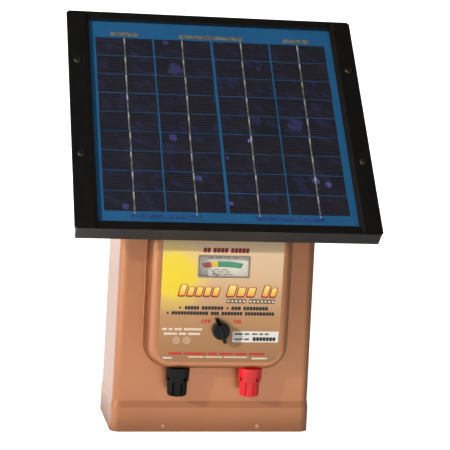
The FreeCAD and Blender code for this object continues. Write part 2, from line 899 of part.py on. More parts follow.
def make_switch_nut():
    front = label_front - switch_nut_height
    nut = hexagon(switch_nut_flats, on_shaft(label_front), on_shaft(front))
    return nut.cut(rod(bush_radius + fit, on_shaft(label_front + over), on_shaft(front - over)))


def make_switch_shaft():
    inner_end = on_shaft(module_inner_face + shaft_depth - clearance)
    return rod(knob_shaft_radius, inner_end, on_shaft(knob_front + shaft_end))


def make_switch_knob():
    body = rod(knob_radius, on_shaft(knob_back), on_shaft(knob_front))
    crown = edges_near(body, lambda middle, along: middle.y < knob_front + near)
    body = body.makeFillet(knob_crown_radius, crown)
    end = knob_bar_length / 2
    flat_end = end * knob_bar_flat
    width = knob_bar_width / 2
    top = label_front - knob_bar_height
    shoulder = top + knob_bar_shoulder
    foot = knob_back - over
    side = [(foot, -end), (shoulder, -end), (top, -flat_end), (top, flat_end), (shoulder, end), (foot, end)]
    bar = prism([V(-width, y, knob_z + z) for y, z in side], V(knob_bar_width, 0, 0))

    def on_flank(middle, along):
        return abs(middle.x) > width - near and middle.y < foot - near

    bar = bar.makeFillet(knob_bar_edge, edges_near(bar, on_flank))
    knob = body.fuse(bar).removeSplitter()
    mouth = on_shaft(knob_back + over)
    hole_start = V(0, set_screw_y, knob_z)
    cuts = [
        rod(knob_recess_radius, mouth, on_shaft(knob_back - knob_recess)),
        rod(knob_shaft_radius + fit, mouth, on_shaft(knob_front + shaft_end)),
        rod(set_screw_radius, hole_start, hole_start + V(knob_radius + over, 0, 0)),
    ]
    return turned(cut_all(knob, cuts), -knob_rest_angle, 0, knob_z)


def make_knob_set_screw():
    start = V(knob_shaft_radius + 2 * fit, set_screw_y, knob_z)
    outer_end = knob_radius - set_screw_recess
    screw = rod(set_screw_radius - 2 * fit, start, V(outer_end, set_screw_y, knob_z))
    slot = block((outer_end - over, knob_radius),
                 (set_screw_y - set_screw_slot_half, set_screw_y + set_screw_slot_half),
                 (knob_z - set_screw_radius, knob_z + set_screw_radius))
    return turned(screw.cut(slot), -knob_rest_angle, 0, knob_z)


# ------------------------------------------------------------------ screw terminals
def on_terminal(side, z):
    return V(side * terminal_x + terminal_shift, terminal_y, z)


def wire_hole(side, radius, reach, turn):
    """Cutter for a cross hole through a terminal, turned from straight ahead."""
    angle = math.radians(turn)
    outward = V(math.sin(angle), -math.cos(angle), 0) * reach
    centre = on_terminal(side, wire_hole_z)
    return rod(radius, centre - outward, centre + outward)


def make_terminal_collar(side):
    bottom = on_terminal(side, collar_bottom)
    below_bottom = on_terminal(side, collar_bottom - over)
    reach = collar_top_radius + over
    cuts = [
        rod(collar_mouth_radius, below_bottom, on_terminal(side, collar_mouth_top)),
        rod(stud_radius + running_gap, below_bottom, on_terminal(side, collar_top + over)),
        wire_hole(side, wire_hole_radius, reach, wire_hole_turn),
        wire_hole(side, wire_hole_radius, reach, wire_hole_turn + 90),
    ]
    collar = taper(collar_bottom_radius, collar_top_radius, bottom, on_terminal(side, collar_top))
    return cut_all(collar, cuts)


def make_terminal_studs():
    studs = []
    for side in (-1, 1):
        stud = rod(stud_radius, on_terminal(side, stud_bottom), on_terminal(side, stud_top))
        studs.append(stud.cut(wire_hole(side, stud_hole_radius, stud_radius + over, wire_hole_turn)))
    return Part.makeCompound(studs)


def make_terminal_nuts():
    nuts = []
    for side in (-1, 1):
        for low in (terminal_seat, upper_nut_low):
            high = low + terminal_nut_height
            nut = hexagon(terminal_nut_flats, on_terminal(side, low), on_terminal(side, high))
            bore = rod(stud_radius + fit, on_terminal(side, low - over), on_terminal(side, high + over))
            nuts.append(nut.cut(bore))
    return Part.makeCompound(nuts)


def make_terminal_lugs():
    """Ring tongues clamped between each pair of nuts."""
    lugs = []
    for side in (-1, 1):
        base = on_terminal(side, lug_low)
        ring = tube(lug_radius, stud_radius + running_gap, base, base + V(0, 0, lug_thickness))
        tongue = block((-lug_tongue_half, lug_tongue_half), (lug_radius - weld, lug_barrel_y[0] + weld),
                       (0, lug_thickness))
        tongue.translate(base)
        barrel_ends = [base + V(0, y, lug_barrel_radius) for y in lug_barrel_y]
        lugs.append(fuse_all(ring, [tongue, rod(lug_barrel_radius, *barrel_ends)]))
    return Part.makeCompound(lugs)


def make_clamp_washer(side):
    low = on_terminal(side, washer_top - washer_thickness)
    return tube(washer_radius, stud_radius + running_gap, low, on_terminal(side, washer_top))


def make_terminal_cap(side):
    bottom = on_terminal(side, cap_bottom)
    cap = taper(cap_bottom_radius, cap_top_radius, bottom, on_terminal(side, cap_top))
    cap = cap.makeFillet(cap_foot_radius, edges_near(cap, lambda middle, along: middle.z < cap_bottom + near))
    flutes = []
    for index in range(cap_flutes):
        angle = math.radians(flute_turn) + 2 * math.pi * index / cap_flutes
        outward = V(math.cos(angle), math.sin(angle), 0)
        top = on_terminal(side, cap_top - flute_top) + outward * (cap_top_radius + flute_offset)
        low = on_terminal(side, cap_bottom - over) + outward * (cap_bottom_radius + flute_offset)
        flutes.append(rod(flute_radius, low, top))
    nose = rod(cap_nose_radius, on_terminal(side, cap_top - over), on_terminal(side, nose_top))
    bore = rod(stud_radius + running_gap, on_terminal(side, cap_bottom + cap_crown),
               on_terminal(side, nose_top + over))
    return cut_all(cap, flutes).fuse(nose).removeSplitter().cut(bore)


# ------------------------------------------------------------------ board and power parts
def make_circuit_board():
    board = block((-board_half, board_half), (board_y, board_back), (board_bottom, board_top))
    return cut_all(board, [rod(board_screw_hole, V(x, board_y - over, z), V(x, board_back + over, z))
                           for x, z in board_screw_places()])


def make_board_screws():
    return Part.makeCompound([pan_head_screw(V(x, board_back, z), V(0, -1, 0), board_screw_head,
                                             board_screw_shank, board_screw_length)
                              for x, z in board_screw_places()])


def make_transformer_core():
    """Laminated shell core: two windows each side of a centre leg."""
    half_x = core_size[0] / 2
    half_z = core_size[2] / 2
    depth = (core_front, core_back)
    core = block((transformer_x - half_x, transformer_x + half_x), depth,
                 (transformer_z - half_z, transformer_z + half_z))
    half_width, half_height = window_size[0] / 2, window_size[1] / 2
    windows = []
    for side in (-1, 1):
        centre = transformer_x + side * (centre_leg / 2 + half_width)
        windows.append(block((centre - half_width, centre + half_width), depth,
                             (transformer_z - half_height, transformer_z + half_height)))
    return cut_all(core, windows)


def make_transformer_coil():
    """Winding round the centre leg, standing on the board."""
    height = window_size[1] / 2 - winding_gap
    inner_x = centre_leg / 2 + winding_lining
    outer_x = centre_leg / 2 + window_size[0] - winding_lining
    z = (transformer_z - height, transformer_z + height)
    outer = block((transformer_x - outer_x, transformer_x + outer_x), (board_back, coil_back), z)
    inner = block((transformer_x - inner_x, transformer_x + inner_x),
                  (core_front - winding_lining, core_back + winding_lining), z)
    return outer.cut(inner)


def make_storage_capacitors():
    cans = []
    top = board_back + capacitor_length
    for x in capacitor_x:
        can = rod(capacitor_radius, V(x, board_back, capacitor_z), V(x, top, capacitor_z))
        rim = edges_near(can, lambda middle, along: middle.y > top - near)
        cans.append(can.makeFillet(capacitor_edge, rim))
    return Part.makeCompound(cans)


def make_thyristor():
    legs_end = board_back + thyristor_stand
    body = block(thyristor_x, (legs_end, legs_end + thyristor_height), thyristor_z)
    centre = sum(thyristor_x) / 2
    middle = sum(thyristor_z) / 2
    legs = []
    for x in (centre - leg_pitch, centre, centre + leg_pitch):
        legs.append(block((x - leg_width / 2, x + leg_width / 2), (board_back, legs_end),
                          (middle - leg_thickness / 2, middle + leg_thickness / 2)))
    return fuse_all(body, legs)


# ------------------------------------------------------------------ battery
def make_battery_case():
    half = battery_size[0] / 2
    case = block((-half, half), (battery_front, battery_back), (battery_low, battery_high))
    case = case.makeFillet(battery_corner, edges_near(case, lambda middle, along: abs(along.z) > steep))
    seam_high = battery_high - battery_lid_height
    seam_low = seam_high - battery_seam
    around = block((-half - over, half + over), (battery_front - over, battery_back + over),
                   (seam_low, seam_high))
    inset = battery_seam_depth
    core = block((inset - half, half - inset), (battery_front + inset, battery_back - inset),
                 (seam_low - over, seam_high + over))
    return case.cut(around.cut(core))


def make_battery_tabs():
    tabs = []
    y_front, y_back = (battery_y + offset for offset in tab_y)
    for x in (-tab_x, tab_x):
        width = (x - tab_half, x + tab_half)
        foot = block(width, (y_front, y_back), (battery_high, battery_high + tab_sheet))
        blade = block(width, (y_front, y_front + tab_sheet), (battery_high, battery_high + tab_height))
        tabs.append(foot.fuse(blade).removeSplitter())
    return Part.makeCompound(tabs)


def make_battery_strap():
    """Hold-down strap: a screwed foot in front, a short hooked foot behind."""
    floor = pan_thickness
    top = battery_high + clearance
    front = battery_front - clearance
    back = battery_back + clearance
    x = (-strap_half, strap_half)
    pieces = [
        block(x, (front - strap_sheet, front), (floor, top + strap_sheet)),
        block(x, (back, back + strap_sheet), (floor, top + strap_sheet)),
        block(x, (front - strap_foot, front), (floor, floor + strap_sheet)),
        block(x, (back, back + strap_hook), (floor, floor + strap_sheet)),
    ]
    bridge = block(x, (front - strap_sheet, back + strap_sheet), (top, top + strap_sheet))
    holes = [rod(strap_screw_hole, V(hole_x, strap_screw_y, 0), V(hole_x, strap_screw_y, top))
             for hole_x in (-strap_screw_x, strap_screw_x)]
    return cut_all(fuse_all(bridge, pieces), holes)


def make_strap_screws():
    seat = pan_thickness + strap_sheet
    return Part.makeCompound([pan_head_screw(V(x, strap_screw_y, seat), V(0, 0, -1), strap_screw_head,
                                             strap_screw_shank, strap_screw_length)
                              for x in (-strap_screw_x, strap_screw_x)])


# ------------------------------------------------------------------ solar panel, in its own frame
def panel_screw_places():
    return [(side * panel_screw_x, s) for side in (-1, 1) for s in panel_screw_s]


def make_side_rail(side):
    """Box rail with an overhanging flange, a bevelled lip and a slot for the laminate."""
    outline = [(0, 0), (flange_flat, 0), (flange_lip, bevel_edge - lip_drop), (flange_lip, -lip_drop),
               (slot_end, -lip_drop), (slot_end, -slot_depth), (flange_lip, -slot_depth),
               (flange_lip, -shelf_bottom), (side_foot, -shelf_bottom), (side_foot, -rail_depth),
               (flange_overhang, -rail_depth), (flange_overhang, -rail_wall), (0, -rail_wall)]
    points = [V(panel_half - across, rail_wall, n) for across, n in outline]
    rail = prism(points, V(0, panel_length - 2 * rail_wall, 0))
    hollow = block((panel_half - side_box, panel_half - flange_overhang - rail_wall), (0, panel_length),
                   (-rail_depth + rail_wall, -rail_wall))
    holes = [rod(panel_screw_hole, V(panel_screw_x, s, -rail_depth - over), V(panel_screw_x, s, over))
             for s in panel_screw_s]
    rail = cut_all(rail, [hollow] + holes)
    return tilted(rail if side > 0 else mirrored(rail))


def make_end_rails():
    """Upper and lower rails: outer wall across the full width, with lip, shelf and foot inside it."""
    half = panel_half - flange_lip - clearance
    outline = [(0, 0), (end_lip, 0), (end_lip, -lip_drop), (end_slot, -lip_drop), (end_slot, -slot_depth),
               (end_shelf, -slot_depth), (end_shelf, -shelf_bottom), (rail_wall, -shelf_bottom),
               (rail_wall, -rail_depth + rail_wall), (end_shelf, -rail_depth + rail_wall),
               (end_shelf, -rail_depth), (0, -rail_depth)]
    rail = prism([V(-half, s, n) for s, n in outline], V(2 * half, 0, 0))
    wall_half = panel_half - flange_overhang
    rail = fuse_all(rail, [block((-wall_half, wall_half), (0, rail_wall), (-rail_depth, 0))])
    upper = rail.mirror(V(0, panel_length / 2, 0), V(0, 1, 0))
    return tilted(Part.makeCompound([rail, upper]))


def laminate_layer(inset, top, bottom):
    """Layer of the laminate between two depths, moved in by inset."""
    low = laminate_low + inset
    return block((inset - laminate_half, laminate_half - inset), (low, panel_length - low), (bottom, top))


def make_solar_glass():
    return tilted(laminate_layer(0, glass_top, ribbon_top))


def make_backsheet():
    return tilted(laminate_layer(0, backsheet_top, backsheet_bottom))


def make_panel_seal():
    """Sealing tape between the laminate and the rails' shelf."""
    ring = laminate_layer(0, backsheet_bottom, -slot_depth)
    return tilted(ring.cut(laminate_layer(seal_width, 0, -slot_depth - over)))


def cell_centres():
    inner = cell_centre_gap / 2 + cell_width / 2
    outer = inner + cell_width + cell_side_gap
    return (-outer, -inner, inner, outer)


def make_solar_cells():
    cells = []
    for x in cell_centres():
        for row in range(cell_rows):
            low = cell_field_start + row * (cell_height + cell_row_gap)
            cells.append(block((x - cell_width / 2, x + cell_width / 2), (low, low + cell_height),
                               (backsheet_top, cell_top)))
    return tilted(Part.makeCompound(cells))


def make_cell_ribbons():
    """One ribbon down each column, with bus strips above and below the cells."""
    columns = cell_centres()
    first, second, third, fourth = columns
    upper = cell_field_start + cell_rows * (cell_height + cell_row_gap) - cell_row_gap + bus_gap
    lower = cell_field_start - bus_gap - bus_width
    depth = (cell_top, ribbon_top)
    strips = [block((x - ribbon_width / 2, x + ribbon_width / 2), (lower + over, upper + over), depth)
              for x in columns]
    for span in ((first - bus_overhang, first + bus_overhang), (second - bus_stub, third + bus_stub),
                 (fourth - bus_overhang, fourth + bus_overhang)):
        strips.append(block(span, (upper, upper + bus_width), depth))
    for span in ((first - bus_stub, second + bus_stub), (third - bus_stub, fourth + bus_stub)):
        strips.append(block(span, (lower, lower + bus_width), depth))
    joined = fuse_all(strips[0], strips[1:])
    return tilted(Part.makeCompound(joined.Solids))


def junction_block(inset, low, high):
    """Block with the junction box's outline, moved in by inset."""
    return block((inset - junction_half, junction_half - inset),
                 (junction_s[0] + inset, junction_s[1] - inset), (low, high))


def make_junction_box():
    box = junction_block(0, junction_bottom, backsheet_bottom)
    hollow = junction_block(junction_wall, junction_bottom - over, backsheet_bottom - junction_wall)
    entry = rod(cable_radius + clearance, V(0, junction_s[0] - over, cable_n),
                V(0, junction_s[0] + junction_wall + over, cable_n))
    return tilted(cut_all(box, [hollow, entry]))


def make_junction_lid():
    lid = junction_block(0, junction_bottom - junction_wall, junction_bottom)
    plug = junction_block(junction_wall + clearance, junction_bottom, junction_bottom + junction_wall)
    return tilted(lid.fuse(plug).removeSplitter())


def make_cable_gland():
    """Gland through the roof: threaded body, hexagon outside and back nut inside."""
    roof_inside = roof_n - case_wall
    tail = roof_inside - gland_back_nut - gland_tail
    body = rod(gland_radius, V(0, gland_s, roof_n + weld), V(0, gland_s, tail))
    head = hexagon(gland_flats, V(0, gland_s, roof_n), V(0, gland_s, roof_n + gland_nut))
    nut = hexagon(gland_flats, V(0, gland_s, roof_inside - gland_back_nut), V(0, gland_s, roof_inside))
    bore = rod(cable_radius + gland_clearance, V(0, gland_s, roof_n + gland_nut + over),
               V(0, gland_s, tail - over))
    return tilted(fuse_all(body, [head, nut]).cut(bore))


def make_solar_cable():
    """Cable from the junction box, over the roof and down through the gland."""
    inside_box = V(0, junction_s[0] + cable_inside, cable_n)
    above_gland = V(0, gland_s, cable_n)
    route = [inside_box, above_gland, V(0, gland_s, roof_n - cable_tail)]
    return tilted(cable(cable_radius, cable_bend, route))


def make_panel_bracket(side):
    """Z-section bracket: outer flange under the side rail, inner flange on the roof."""
    sheet = bracket_sheet
    web_inside = bracket_web_x - sheet
    flange = (-rail_depth - sheet, -rail_depth)
    foot = (roof_n, roof_n + sheet)
    upper = block((web_inside, bracket_outer_x), bracket_flange_s, flange)
    web = block((web_inside, bracket_web_x), (bracket_foot_s[0], bracket_flange_s[1]), (roof_n, -rail_depth))
    lower = block((bracket_inner_x, bracket_web_x), bracket_foot_s, foot)
    cuts = []
    for s in panel_screw_s:
        low = V(panel_screw_x, s, flange[0] - over)
        cuts.append(rod(panel_screw_hole, low, V(panel_screw_x, s, flange[1] + over)))
    for s in bracket_bolt_s:
        low = V(bracket_bolt_x, s, foot[0] - over)
        cuts.append(rod(bolt_hole, low, V(bracket_bolt_x, s, foot[1] + over)))
    bracket = cut_all(fuse_all(upper, [web, lower]), cuts)
    return tilted(bracket if side > 0 else mirrored(bracket))


def make_panel_screws():
    """Screws down through both walls of the side rails and the bracket flange."""
    length = rail_depth + bracket_sheet + panel_screw_tail
    return Part.makeCompound([tilted(pan_head_screw(V(x, s, 0), V(0, 0, -1), panel_screw_head,
                                                    panel_screw_shank, length))
                              for x, s in panel_screw_places()])


def make_panel_nuts():
    nuts = []
    high = -rail_depth - bracket_sheet
    low = high - panel_nut_height
    for x, s in panel_screw_places():
        nut = hexagon(panel_nut_flats, V(x, s, low), V(x, s, high))
        nuts.append(tilted(nut.cut(rod(panel_screw_shank + fit, V(x, s, low - over), V(x, s, high + over)))))
    return Part.makeCompound(nuts)


def make_bracket_bolts():
    bolts = []
    for x, s in bracket_bolt_places():
        seat = V(x, s, roof_n + bracket_sheet)
        head_seat = seat + V(0, 0, bolt_washer)
        washer = tube(bolt_washer_radius, bolt_radius, seat, head_seat)
        head = hexagon(bolt_head_flats, head_seat, head_seat + V(0, 0, bolt_head))
        shank = rod(bolt_radius, head_seat, seat - V(0, 0, bolt_reach))
        bolts.append(tilted(fuse_all(washer, [head, shank])))
    return Part.makeCompound(bolts)


# ------------------------------------------------------------------ wiring inside the case
def make_output_leads():
    """Insulated leads from the transformer to the terminal lugs."""
    leads = []
    for side in (-1, 1):
        lug_end = on_terminal(side, lug_low) + lead_start
        inside = lug_end + lead_entry
        climb = V(inside.x, inside.y, battery_high + lead_climb)
        coil_end = V(transformer_x + side * coil_lead_x, coil_back + lead_gap, transformer_z)
        behind_coil = coil_end + coil_lead_run
        under_coil = V(behind_coil.x, behind_coil.y, battery_high + lead_cross)
        route = [lug_end, inside, climb, under_coil, behind_coil, coil_end]
        leads.append(cable(lead_radius, lead_bend, route))
    return Part.makeCompound(leads)


def make_battery_leads():
    """Leads from the battery tabs to the lower edge of the board."""
    leads = []
    for side in (-1, 1):
        start = V(side * tab_x, battery_y + tab_y[0] - 2 * clearance, battery_high + tab_lead_rise)
        end = V(side * board_lead_x, board_back + lead_gap, board_bottom + board_lead_z)
        route = [start, start + tab_lead_run, end + board_lead_run, end]
        leads.append(cable(lead_radius, lead_bend, route))
    return Part.makeCompound(leads)


# ------------------------------------------------------------------ assembly
sub_parts = {
    "case_shell": make_case_shell(),
    "base_pan": make_base_pan(),
    "base_gasket": make_base_gasket(),
    "base_screws": make_base_screws(),
    "threaded_inserts": make_threaded_inserts(),
    "module_housing": make_module_housing(),
    "module_gasket": make_module_gasket(),
    "module_screws": make_module_screws(),
    "face_label": make_face_label(),
    "rating_sticker": make_rating_sticker(),
    "meter_bezel": make_meter_bezel(),
    "meter_window": make_meter_window(),
    "meter_case": make_meter_case(),
    "meter_dial": make_meter_dial(),
    "meter_magnet": make_meter_magnet(),
    "meter_needle": make_meter_needle(),
    "meter_coil": make_meter_coil(),
    "switch_body": make_switch_body(),
    "switch_nut": make_switch_nut(),
    "switch_shaft": make_switch_shaft(),
    "switch_knob": make_switch_knob(),
    "knob_set_screw": make_knob_set_screw(),
    "black_terminal_collar": make_terminal_collar(-1),
    "red_terminal_collar": make_terminal_collar(1),
    "terminal_studs": make_terminal_studs(),
    "terminal_nuts": make_terminal_nuts(),
    "terminal_lugs": make_terminal_lugs(),
    "black_clamp_washer": make_clamp_washer(-1),
    "red_clamp_washer": make_clamp_washer(1),
    "black_terminal_cap": make_terminal_cap(-1),
    "red_terminal_cap": make_terminal_cap(1),
    "circuit_board": make_circuit_board(),
    "board_screws": make_board_screws(),
    "transformer_core": make_transformer_core(),
    "transformer_coil": make_transformer_coil(),
    "storage_capacitors": make_storage_capacitors(),
    "thyristor": make_thyristor(),
    "battery_case": make_battery_case(),
    "battery_tabs": make_battery_tabs(),
    "battery_strap": make_battery_strap(),
    "strap_screws": make_strap_screws(),
    "output_leads": make_output_leads(),
    "battery_leads": make_battery_leads(),
    "panel_rail_left": make_side_rail(-1),
    "panel_rail_right": make_side_rail(1),
    "panel_end_rails": make_end_rails(),
    "solar_glass": make_solar_glass(),
    "solar_cells": make_solar_cells(),
    "cell_ribbons": make_cell_ribbons(),
    "backsheet": make_backsheet(),
    "panel_seal": make_panel_seal(),
    "junction_box": make_junction_box(),
    "junction_lid": make_junction_lid(),
    "solar_cable": make_solar_cable(),
    "cable_gland": make_cable_gland(),
    "panel_bracket_left": make_panel_bracket(-1),
    "panel_bracket_right": make_panel_bracket(1),
    "bracket_bolts": make_bracket_bolts(),
    "panel_screws": make_panel_screws(),
    "panel_nuts": make_panel_nuts(),
}

os.makedirs("parts", exist_ok=True)
for name, shape in sub_parts.items():
    shape.exportStep(os.path.join("parts", name + ".step"))
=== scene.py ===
import json
import math
import random

import bmesh
import bpy
from mathutils import Matrix, Vector


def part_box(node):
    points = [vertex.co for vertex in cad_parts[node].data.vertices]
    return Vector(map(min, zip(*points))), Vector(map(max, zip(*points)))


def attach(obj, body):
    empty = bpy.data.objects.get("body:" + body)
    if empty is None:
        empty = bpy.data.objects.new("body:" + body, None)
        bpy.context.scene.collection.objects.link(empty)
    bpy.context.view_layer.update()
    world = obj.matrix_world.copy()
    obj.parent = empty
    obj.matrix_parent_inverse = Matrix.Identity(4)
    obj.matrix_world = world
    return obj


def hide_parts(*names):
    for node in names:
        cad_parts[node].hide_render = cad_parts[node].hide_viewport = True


# Solar fence energizer: looks, materials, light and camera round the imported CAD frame.
# Metres, +Z up, front towards -Y. The planes that things lie on come from the boxes of the frame's nodes.
# Print, cells and caps are laid out on them in millimetres.

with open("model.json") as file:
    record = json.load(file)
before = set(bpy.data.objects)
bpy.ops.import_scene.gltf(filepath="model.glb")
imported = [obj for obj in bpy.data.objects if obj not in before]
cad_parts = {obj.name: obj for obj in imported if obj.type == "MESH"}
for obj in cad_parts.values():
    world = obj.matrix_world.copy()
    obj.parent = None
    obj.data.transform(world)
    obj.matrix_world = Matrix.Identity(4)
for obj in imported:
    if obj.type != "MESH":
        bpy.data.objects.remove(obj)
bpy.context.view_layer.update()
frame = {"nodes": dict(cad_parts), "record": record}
nodes = frame["nodes"]
MM = 0.001


# ------------------------------------------------------------------ node tree helpers
class Shader:
    """A material's node tree, with one short method per kind of node."""

    def __init__(self, name):
        self.material = bpy.data.materials.new(name)
        self.material.use_nodes = True
        self.tree = self.material.node_tree
        self.tree.nodes.clear()
        self.out = self.tree.nodes.new("ShaderNodeOutputMaterial")
        self.coords = self.tree.nodes.new("ShaderNodeTexCoord").outputs["Object"]

    def node(self, kind, inputs=None, **settings):
        made = self.tree.nodes.new(kind)
        for key, value in settings.items():
            setattr(made, key, value)
        for key, value in (inputs or {}).items():
            self.feed(made.inputs[key], value)
        return made

    def feed(self, socket, value):
        if isinstance(value, bpy.types.NodeSocket):
            self.tree.links.new(value, socket)
        elif socket.type == "RGBA" and len(value) == 3:
            socket.default_value = (*value, 1.0)
        else:
            socket.default_value = value

    def math(self, operation, a, b=0.0, c=0.0):
        made = self.node("ShaderNodeMath", operation=operation)
        for socket, value in zip(made.inputs, (a, b, c)):
            self.feed(socket, value)
        return made.outputs[0]

    def clamp(self, value):
        return self.node("ShaderNodeClamp", {"Value": value}).outputs[0]

    def scaled(self, x, y, z, source=None):
        """Object coordinates multiplied per axis."""
        inputs = {0: source or self.coords, 1: (x, y, z)}
        return self.node("ShaderNodeVectorMath", inputs, operation="MULTIPLY").outputs[0]

    def along(self, direction, source=None):
        """Distance of the shaded point along a direction."""
        inputs = {0: source or self.coords, 1: tuple(direction)}
        return self.node("ShaderNodeVectorMath", inputs, operation="DOT_PRODUCT").outputs["Value"]

    def axis(self, index, source=None):
        direction = [0.0, 0.0, 0.0]
        direction[index] = 1.0
        return self.along(direction, source)

    def distance_from(self, point, source):
        """Distance of the shaded point from a fixed point."""
        inputs = {0: source, 1: tuple(point)}
        offset = self.node("ShaderNodeVectorMath", inputs, operation="SUBTRACT").outputs[0]
        return self.node("ShaderNodeVectorMath", {0: offset}, operation="LENGTH").outputs["Value"]

    def noise(self, scale, detail=4.0, roughness=0.55, vector=None, distortion=0.0):
        inputs = {"Vector": vector or self.coords, "Scale": scale, "Detail": detail, "Roughness": roughness,
                  "Distortion": distortion}
        return self.node("ShaderNodeTexNoise", inputs).outputs["Fac"]

    def voronoi(self, scale, vector, output="Distance"):
        return self.node("ShaderNodeTexVoronoi", {"Vector": vector, "Scale": scale}).outputs[output]

    def ramp(self, value, stops, interpolation="LINEAR"):
        made = self.node("ShaderNodeValToRGB", {"Fac": value})
        made.color_ramp.interpolation = interpolation
        elements = made.color_ramp.elements
        while len(elements) < len(stops):
            elements.new(0.5)
        for element, (position, colour) in zip(elements, stops):
            element.position = position
            element.color = (*colour, 1.0) if isinstance(colour, tuple) else (colour, colour, colour, 1.0)
        return made.outputs["Color"]

    def share(self, value, low, high, first=0.0, last=1.0):
        """Goes from first to last as value goes from low to high, and stays level beyond them."""
        inputs = {"Value": value, "From Min": low, "From Max": high, "To Min": first, "To Max": last}
        return self.node("ShaderNodeMapRange", inputs).outputs[0]

    def window(self, value, low, high, soft):
        """1 where value lies between low and high, with soft edges."""
        rise = self.share(value, low - soft, low + soft)
        fall = self.share(value, high - soft, high + soft, 1.0, 0.0)
        return self.math("MULTIPLY", rise, fall)

    def mix(self, factor, a, b):
        made = self.node("ShaderNodeMix", data_type="RGBA")
        self.feed(made.inputs["Factor"], factor)
        self.feed(made.inputs[6], a)
        self.feed(made.inputs[7], b)
        return made.outputs[2]

    def bump(self, height, strength=0.3, distance=0.0005, normal=None):
        inputs = {"Height": height, "Strength": strength, "Distance": distance}
        if normal:
            inputs["Normal"] = normal
        return self.node("ShaderNodeBump", inputs).outputs[0]

    def sheet_gloss(self, head_on):
        """Share of light a clear sheet reflects, the same from either side."""
        facing = self.node("ShaderNodeLayerWeight", {"Blend": 0.5}).outputs["Facing"]
        return self.math("MULTIPLY_ADD", self.math("POWER", facing, 5.0), 1.0 - head_on, head_on)

    def surface(self, **inputs):
        named = {key.replace("_", " "): value for key, value in inputs.items()}
        principled = self.node("ShaderNodeBsdfPrincipled", named)
        self.tree.links.new(principled.outputs[0], self.out.inputs["Surface"])
        return self.material


def srgb(red, green, blue):
    """Linear colour from 0-255 display values."""
    def linear(value):
        value /= 255
        return value / 12.92 if value <= 0.04045 else ((value + 0.055) / 1.055) ** 2.4
    return tuple(linear(value) for value in (red, green, blue))


# ------------------------------------------------------------------ places taken from the frame
def span(node):
    low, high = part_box(node)
    return Vector(low), Vector(high)


# Cells, in millimetres: x across, s up the slope, n out of the panel's top face
CELL_WIDTH = 63.4
CELL_HEIGHT = 25.4
CELL_PITCH = 26.25
CELL_ROWS = 9
CELL_COLUMNS = (-98.45, -33.35, 33.35, 98.45)
FIELD_START = 27.5
CELL_BACK = -6.74
CELL_FRONT = -6.46
RIBBON_FRONT = -6.26
RIBBON_WIDTH = 1.6
FINGER_PITCH = 2.3 * MM
# Grains painted bright as glints where they catch the light: x, distance up the slope, radius, brightness
CRYSTAL_GLINTS = (
    (-52, 125, 6, 0.22), (31, 124, 3.4, 0.8), (99, 72, 6, 0.5), (112, 68, 5, 0.4), (4, 40, 3.2, 0.45),
    (5, 100, 2.6, 0.35), (-108, 33, 5, 0.25), (-28, 72, 5.5, 0.25), (-44, 221, 12, 0.14), (84, 148, 12, 0.14),
    (-52, 259, 5, 0.18), (50, 226, 4, 0.12),
)
RAIL_DEPTH = 18 * MM
TILT = math.radians(45)
UP_SLOPE = Vector((0, math.cos(TILT), math.sin(TILT)))
OUT_OF_PANEL = Vector((0, -math.sin(TILT), math.cos(TILT)))
rails_low = span("panel_end_rails")[0]
panel_origin = Vector((0, rails_low.y, rails_low.z + RAIL_DEPTH * math.cos(TILT)))
label_low, label_high = span("face_label")
SUN_CENTRE = Vector((-52 * MM, 0, 180 * MM))
SUN_RADIUS = 44 * MM


def first_cell_slope():
    """Slope coordinate of the lowest cell's lower edge."""
    return panel_point(0, FIELD_START * MM, 0).dot(UP_SLOPE)


def panel_point(x, s, n):
    """Point x across, s up the slope and n out of the panel's top face."""
    return panel_origin + Vector((x, 0, 0)) + UP_SLOPE * s + OUT_OF_PANEL * n


# ------------------------------------------------------------------ materials
def tan_moulding():
    """Copper-tan moulded plastic: satin, faint mottling, fine grain, scuffs and dust near the ground."""
    s = Shader("tan_moulding")
    cloud = s.noise(9.0, 3.0)
    mottle = s.noise(120.0, 5.0, 0.6)
    base = s.ramp(cloud, [(0.3, srgb(168, 103, 60)), (0.7, srgb(176, 111, 66))])
    base = s.mix(s.math("MULTIPLY", mottle, 0.2), base, srgb(188, 128, 86))
    scuff = s.ramp(s.noise(60.0, 8.0, 0.7, s.scaled(1, 1, 0.12), 0.6), [(0.62, 0.0), (0.72, 1.0)])
    base = s.mix(s.math("MULTIPLY", scuff, 0.10), base, srgb(224, 190, 160))
    low = s.math("MULTIPLY", s.window(s.axis(2), -0.1, 0.012, 0.014), s.noise(45.0, 6.0, 0.7))
    base = s.mix(s.math("MULTIPLY", low, 0.45), base, srgb(150, 118, 92))
    rough = s.math("MULTIPLY_ADD", mottle, 0.14, 0.27)
    rough = s.math("ADD", rough, s.math("MULTIPLY", scuff, 0.08))
    grain = s.bump(s.noise(1500.0, 2.0), 0.10, 0.0003)
    normal = s.bump(s.noise(30.0, 2.0), 0.12, 0.0012, grain)
    return s.surface(Base_Color=base, Roughness=rough, Normal=normal, Metallic=0.55, Coat_Weight=0.6,
                     Coat_Roughness=0.3, Coat_IOR=1.6, Specular_IOR_Level=0.5)


def plain_plastic(name, colour, rough, grain=900.0, depth=0.12, **more):
    """Moulded plastic with a fine grain, slight colour drift and uneven gloss."""
    s = Shader(name)
    drift = s.noise(70.0, 4.0)
    dark = tuple(c * 0.82 for c in colour)
    light = tuple(min(1.0, c * 1.18 + 0.002) for c in colour)
    base = s.ramp(drift, [(0.3, dark), (0.7, light)])
    roughness = s.math("MULTIPLY_ADD", s.noise(210.0, 5.0, 0.6), 0.18, rough - 0.09)
    normal = s.bump(s.noise(grain, 2.0), depth, 0.0002)
    return s.surface(Base_Color=base, Roughness=roughness, Normal=normal, **more)


